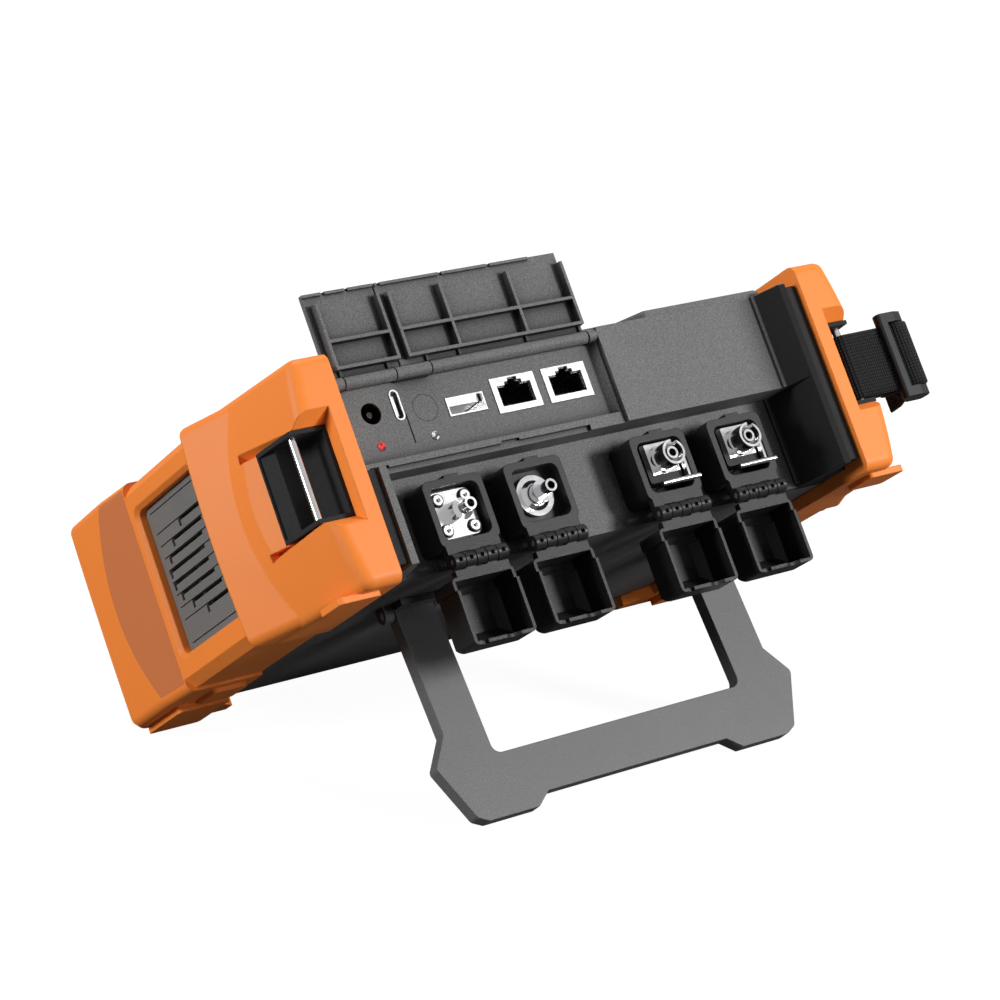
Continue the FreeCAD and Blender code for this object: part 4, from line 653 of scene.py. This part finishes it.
def sweep_band(work, line, closed, falls=None):
    """The webbing swept along a line, with a map in millimetres.

    falls, where given, is how far each point of the line hangs below the pin's middle."""
    section = band_section()
    count, size = len(line), len(section)
    rings, runs = [], []
    for index, (x, y) in enumerate(line):
        before = line[index - 1] if index or closed else line[index]
        after = line[(index + 1) % count] if index + 1 < count or closed else line[index]
        direction = Vector((after[0] - before[0], after[1] - before[1])).normalized()
        normal = Vector((-direction.y, direction.x))
        runs.append(runs[-1] + math.dist(line[index - 1], (x, y)) if index else 0.0)
        fall = falls[index] if falls else 0.0
        rings.append([work.verts.new((x + normal.x * out, y + normal.y * out, across - fall))
                      for across, out in section])
    uv = work.loops.layers.uv.new("band")
    spans = [(first, first + 1, runs[first], runs[first + 1]) for first in range(count - 1)]
    if closed:
        spans.append((count - 1, 0, runs[-1], runs[-1] + math.dist(line[-1], line[0])))
    for first, second, start, end in spans:
        for side in range(size):
            after = (side + 1) % size
            corners = ((first, side, start), (second, side, end), (second, after, end), (first, after, start))
            face = work.faces.new([rings[ring][point] for ring, point, run in corners])
            for loop, (ring, point, run) in zip(face.loops, corners):
                loop[uv].uv = (section[point][0], run)
    if not closed:
        for ring in (rings[0], rings[-1]):
            work.faces.new(ring)


def make_hand_strap():
    """The webbing loop from the pin to the buckle and back, and its free tail."""
    strap = to_object("strap_webbing", lambda work: sweep_band(work, band_line(), True), "webbing")
    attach(strap, "strap")
    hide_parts("hand_strap")
    line, falls = [], []
    for before, after in zip(TAIL_PLACES, TAIL_PLACES[1:]):
        for share in (0, 0.25, 0.5, 0.75):
            x, y, fall = (start + (end - start) * share for start, end in zip(before, after))
            line.append((x, y))
            falls.append(fall)
    line.append(TAIL_PLACES[-1][:2])
    falls.append(TAIL_PLACES[-1][2])
    tail = to_object("strap_tail", lambda work: sweep_band(work, line, False, falls), "webbing")
    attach(tail, "strap")


def walled(work, first, second):
    """Faces between two rings of as many points."""
    for index in range(len(first)):
        after = (index + 1) % len(first)
        work.faces.new((first[index], first[after], second[after], second[index]))


def pushed(work, outline, start, end, turn=lambda a, b, c: (a, b, c)):
    """A flat outline pushed from start to end; turn says which axis is which."""
    near = [work.verts.new(turn(a, b, start)) for a, b in outline]
    far = [work.verts.new(turn(a, b, end)) for a, b in outline]
    walled(work, near, far)
    work.faces.new(near[::-1])
    work.faces.new(far)


def make_buckle():
    """Ladder buckle: a flat bar in front, two cheeks and a round rung that the webbing folds over."""
    front, rear, inside = BUCKLE_FRONT, BUCKLE_REAR, WEB_HALF + 0.4
    cheek = [(BAR_NEAR, front + 0.6), (BAR_NEAR + 0.6, front), (BUCKLE_END - 5, front),
             (BUCKLE_END - 1.2, front + 1.4), (BUCKLE_END, front + 3.6), (BUCKLE_END, rear - 0.8),
             (BUCKLE_END - 0.8, rear), (BAR_FAR + 1.5, rear), (BAR_NEAR + 1.0, -6.6), (BAR_NEAR, -8.4)]
    bar = [(BAR_NEAR, front + 0.6), (BAR_NEAR + 0.6, front), (BAR_FAR - 0.4, front), (BAR_FAR, front + 0.4),
           (BAR_FAR, -8.9), (BAR_FAR - 0.4, -8.6), (BAR_NEAR + 0.4, -8.6), (BAR_NEAR, -8.9)]
    rung = arc((FOLD_X, FOLD_Y), RUNG_R, 0, 345, 23)

    def build(work):
        for outline, start, end in ((cheek, inside, BUCKLE_HALF), (cheek, -BUCKLE_HALF, -inside),
                                    (bar, -inside, inside), (rung, -inside, inside)):
            pushed(work, outline, start, end)

    buckle = to_object("ladder_buckle", build, "buckle_plastic", smooth=False)
    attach(buckle, "strap")
    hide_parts("strap_buckle")


def network_mouth(middle, shrink):
    """Outline of a network socket's mouth, its latch notch and tab slot, pulled in by shrink."""
    half, latch, tab = MOUTH_HALF - shrink, LATCH_HALF - shrink, TAB_HALF - shrink
    right = [(half, MOUTH_LOW + shrink), (half, MOUTH_HIGH - shrink), (latch, MOUTH_HIGH - shrink),
             (latch, LATCH_HIGH - shrink), (tab, LATCH_HIGH - shrink), (tab, TAB_HIGH - shrink)]
    return [(middle + x, z) for x, z in right] + [(middle - x, z) for x, z in reversed(right)]


def make_socket_linings():
    """Black plastic bodies inside the two network sockets' shells, open at the front."""
    def build(work):
        for middle in SOCKET_MIDDLES:
            loops = []
            for shrink, depth in ((0.0, LINING_FRONT), (LINING_WALL, LINING_FRONT),
                                  (LINING_WALL, LINING_FLOOR), (0.0, LINING_BACK)):
                loops.append([work.verts.new((x, depth, z)) for x, z in network_mouth(middle, shrink)])
            for first, second in ((0, 1), (1, 2), (3, 0)):
                walled(work, loops[first], loops[second])
            work.faces.new(loops[2])
            work.faces.new(loops[3])

    lining = to_object("network_socket_linings", build, "socket_black", smooth=False)
    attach(lining, "case")


def contact_rows():
    """Geometry nodes: one contact wire repeated side by side, and its row repeated for each socket."""
    tree, given, result = group("contact_rows", [
        ("Wire", "NodeSocketObject", None), ("Wires", "NodeSocketInt", 8),
        ("Wire pitch", "NodeSocketFloat", 1.0), ("Sockets", "NodeSocketInt", 2),
        ("Socket pitch", "NodeSocketFloat", 20.0), ("Finish", "NodeSocketMaterial", None)],
        [("Geometry", "NodeSocketGeometry")], "GeometryNodeTree")
    shape = add_node(tree, "GeometryNodeObjectInfo", Object=given["Wire"]).outputs["Geometry"]
    for count, pitch in (("Wires", "Wire pitch"), ("Sockets", "Socket pitch")):
        step = wire(tree, "ShaderNodeCombineXYZ", X=given[pitch])
        row = wire(tree, "GeometryNodeMeshLine", Count=given[count], Offset=step)
        spread = wire(tree, "GeometryNodeInstanceOnPoints", Points=row, Instance=shape)
        shape = wire(tree, "GeometryNodeRealizeInstances", _0=spread)
    feed(tree, result[0], wire(tree, "GeometryNodeSetMaterial", Geometry=shape, Material=given["Finish"]))
    return tree


def scattered(name, tree, values, finish):
    """Runs a geometry-nodes tree on an empty mesh, in the tester's millimetres, and keeps the result."""
    holder = placed(name + "_maker", bpy.data.meshes.new(name + "_maker"))
    modifier = holder.modifiers.new(name, "NODES")
    modifier.node_group = tree
    for item in tree.interface.items_tree:
        if item.in_out == "INPUT" and item.name in values:
            modifier[item.identifier] = values[item.name]
    bpy.context.view_layer.update()
    mesh = bpy.data.meshes.new_from_object(holder.evaluated_get(bpy.context.evaluated_depsgraph_get()))
    bpy.data.objects.remove(holder)
    for source in [value for value in values.values() if isinstance(value, bpy.types.Object)]:
        bpy.data.objects.remove(source)
    mesh.name = name
    mesh.transform(TESTER)
    mesh.materials.clear()
    mesh.materials.append(FINISHES[finish])
    return placed(name, mesh)


def make_contacts():
    """Gold wires on the lower side of the network sockets, rising towards the mouth."""
    first = SOCKET_MIDDLES[0] - (WIRES - 1) / 2 * WIRE_PITCH
    low = MOUTH_LOW + 0.35
    outline = [(11.2, low + 0.1), (7.0, low + 1.9), (3.2, low + 0.1), (3.2, low + 0.35), (7.0, low + 2.2),
               (11.2, low + 0.4)]

    def build(work):
        pushed(work, outline, first - WIRE_HALF, first + WIRE_HALF, lambda y, z, x: (x, y, z))

    contacts = scattered("network_contacts", contact_rows(), {
        "Wire": placed("contact_wire", meshed("contact_wire", build)), "Wires": WIRES,
        "Wire pitch": WIRE_PITCH, "Sockets": len(SOCKET_MIDDLES),
        "Socket pitch": SOCKET_MIDDLES[1] - SOCKET_MIDDLES[0], "Finish": FINISHES["contact_gold"]},
        "contact_gold")
    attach(contacts, "case")


place_camera()
studio()
dress_solids()
make_hand_strap()
make_buckle()
make_socket_linings()
make_contacts()
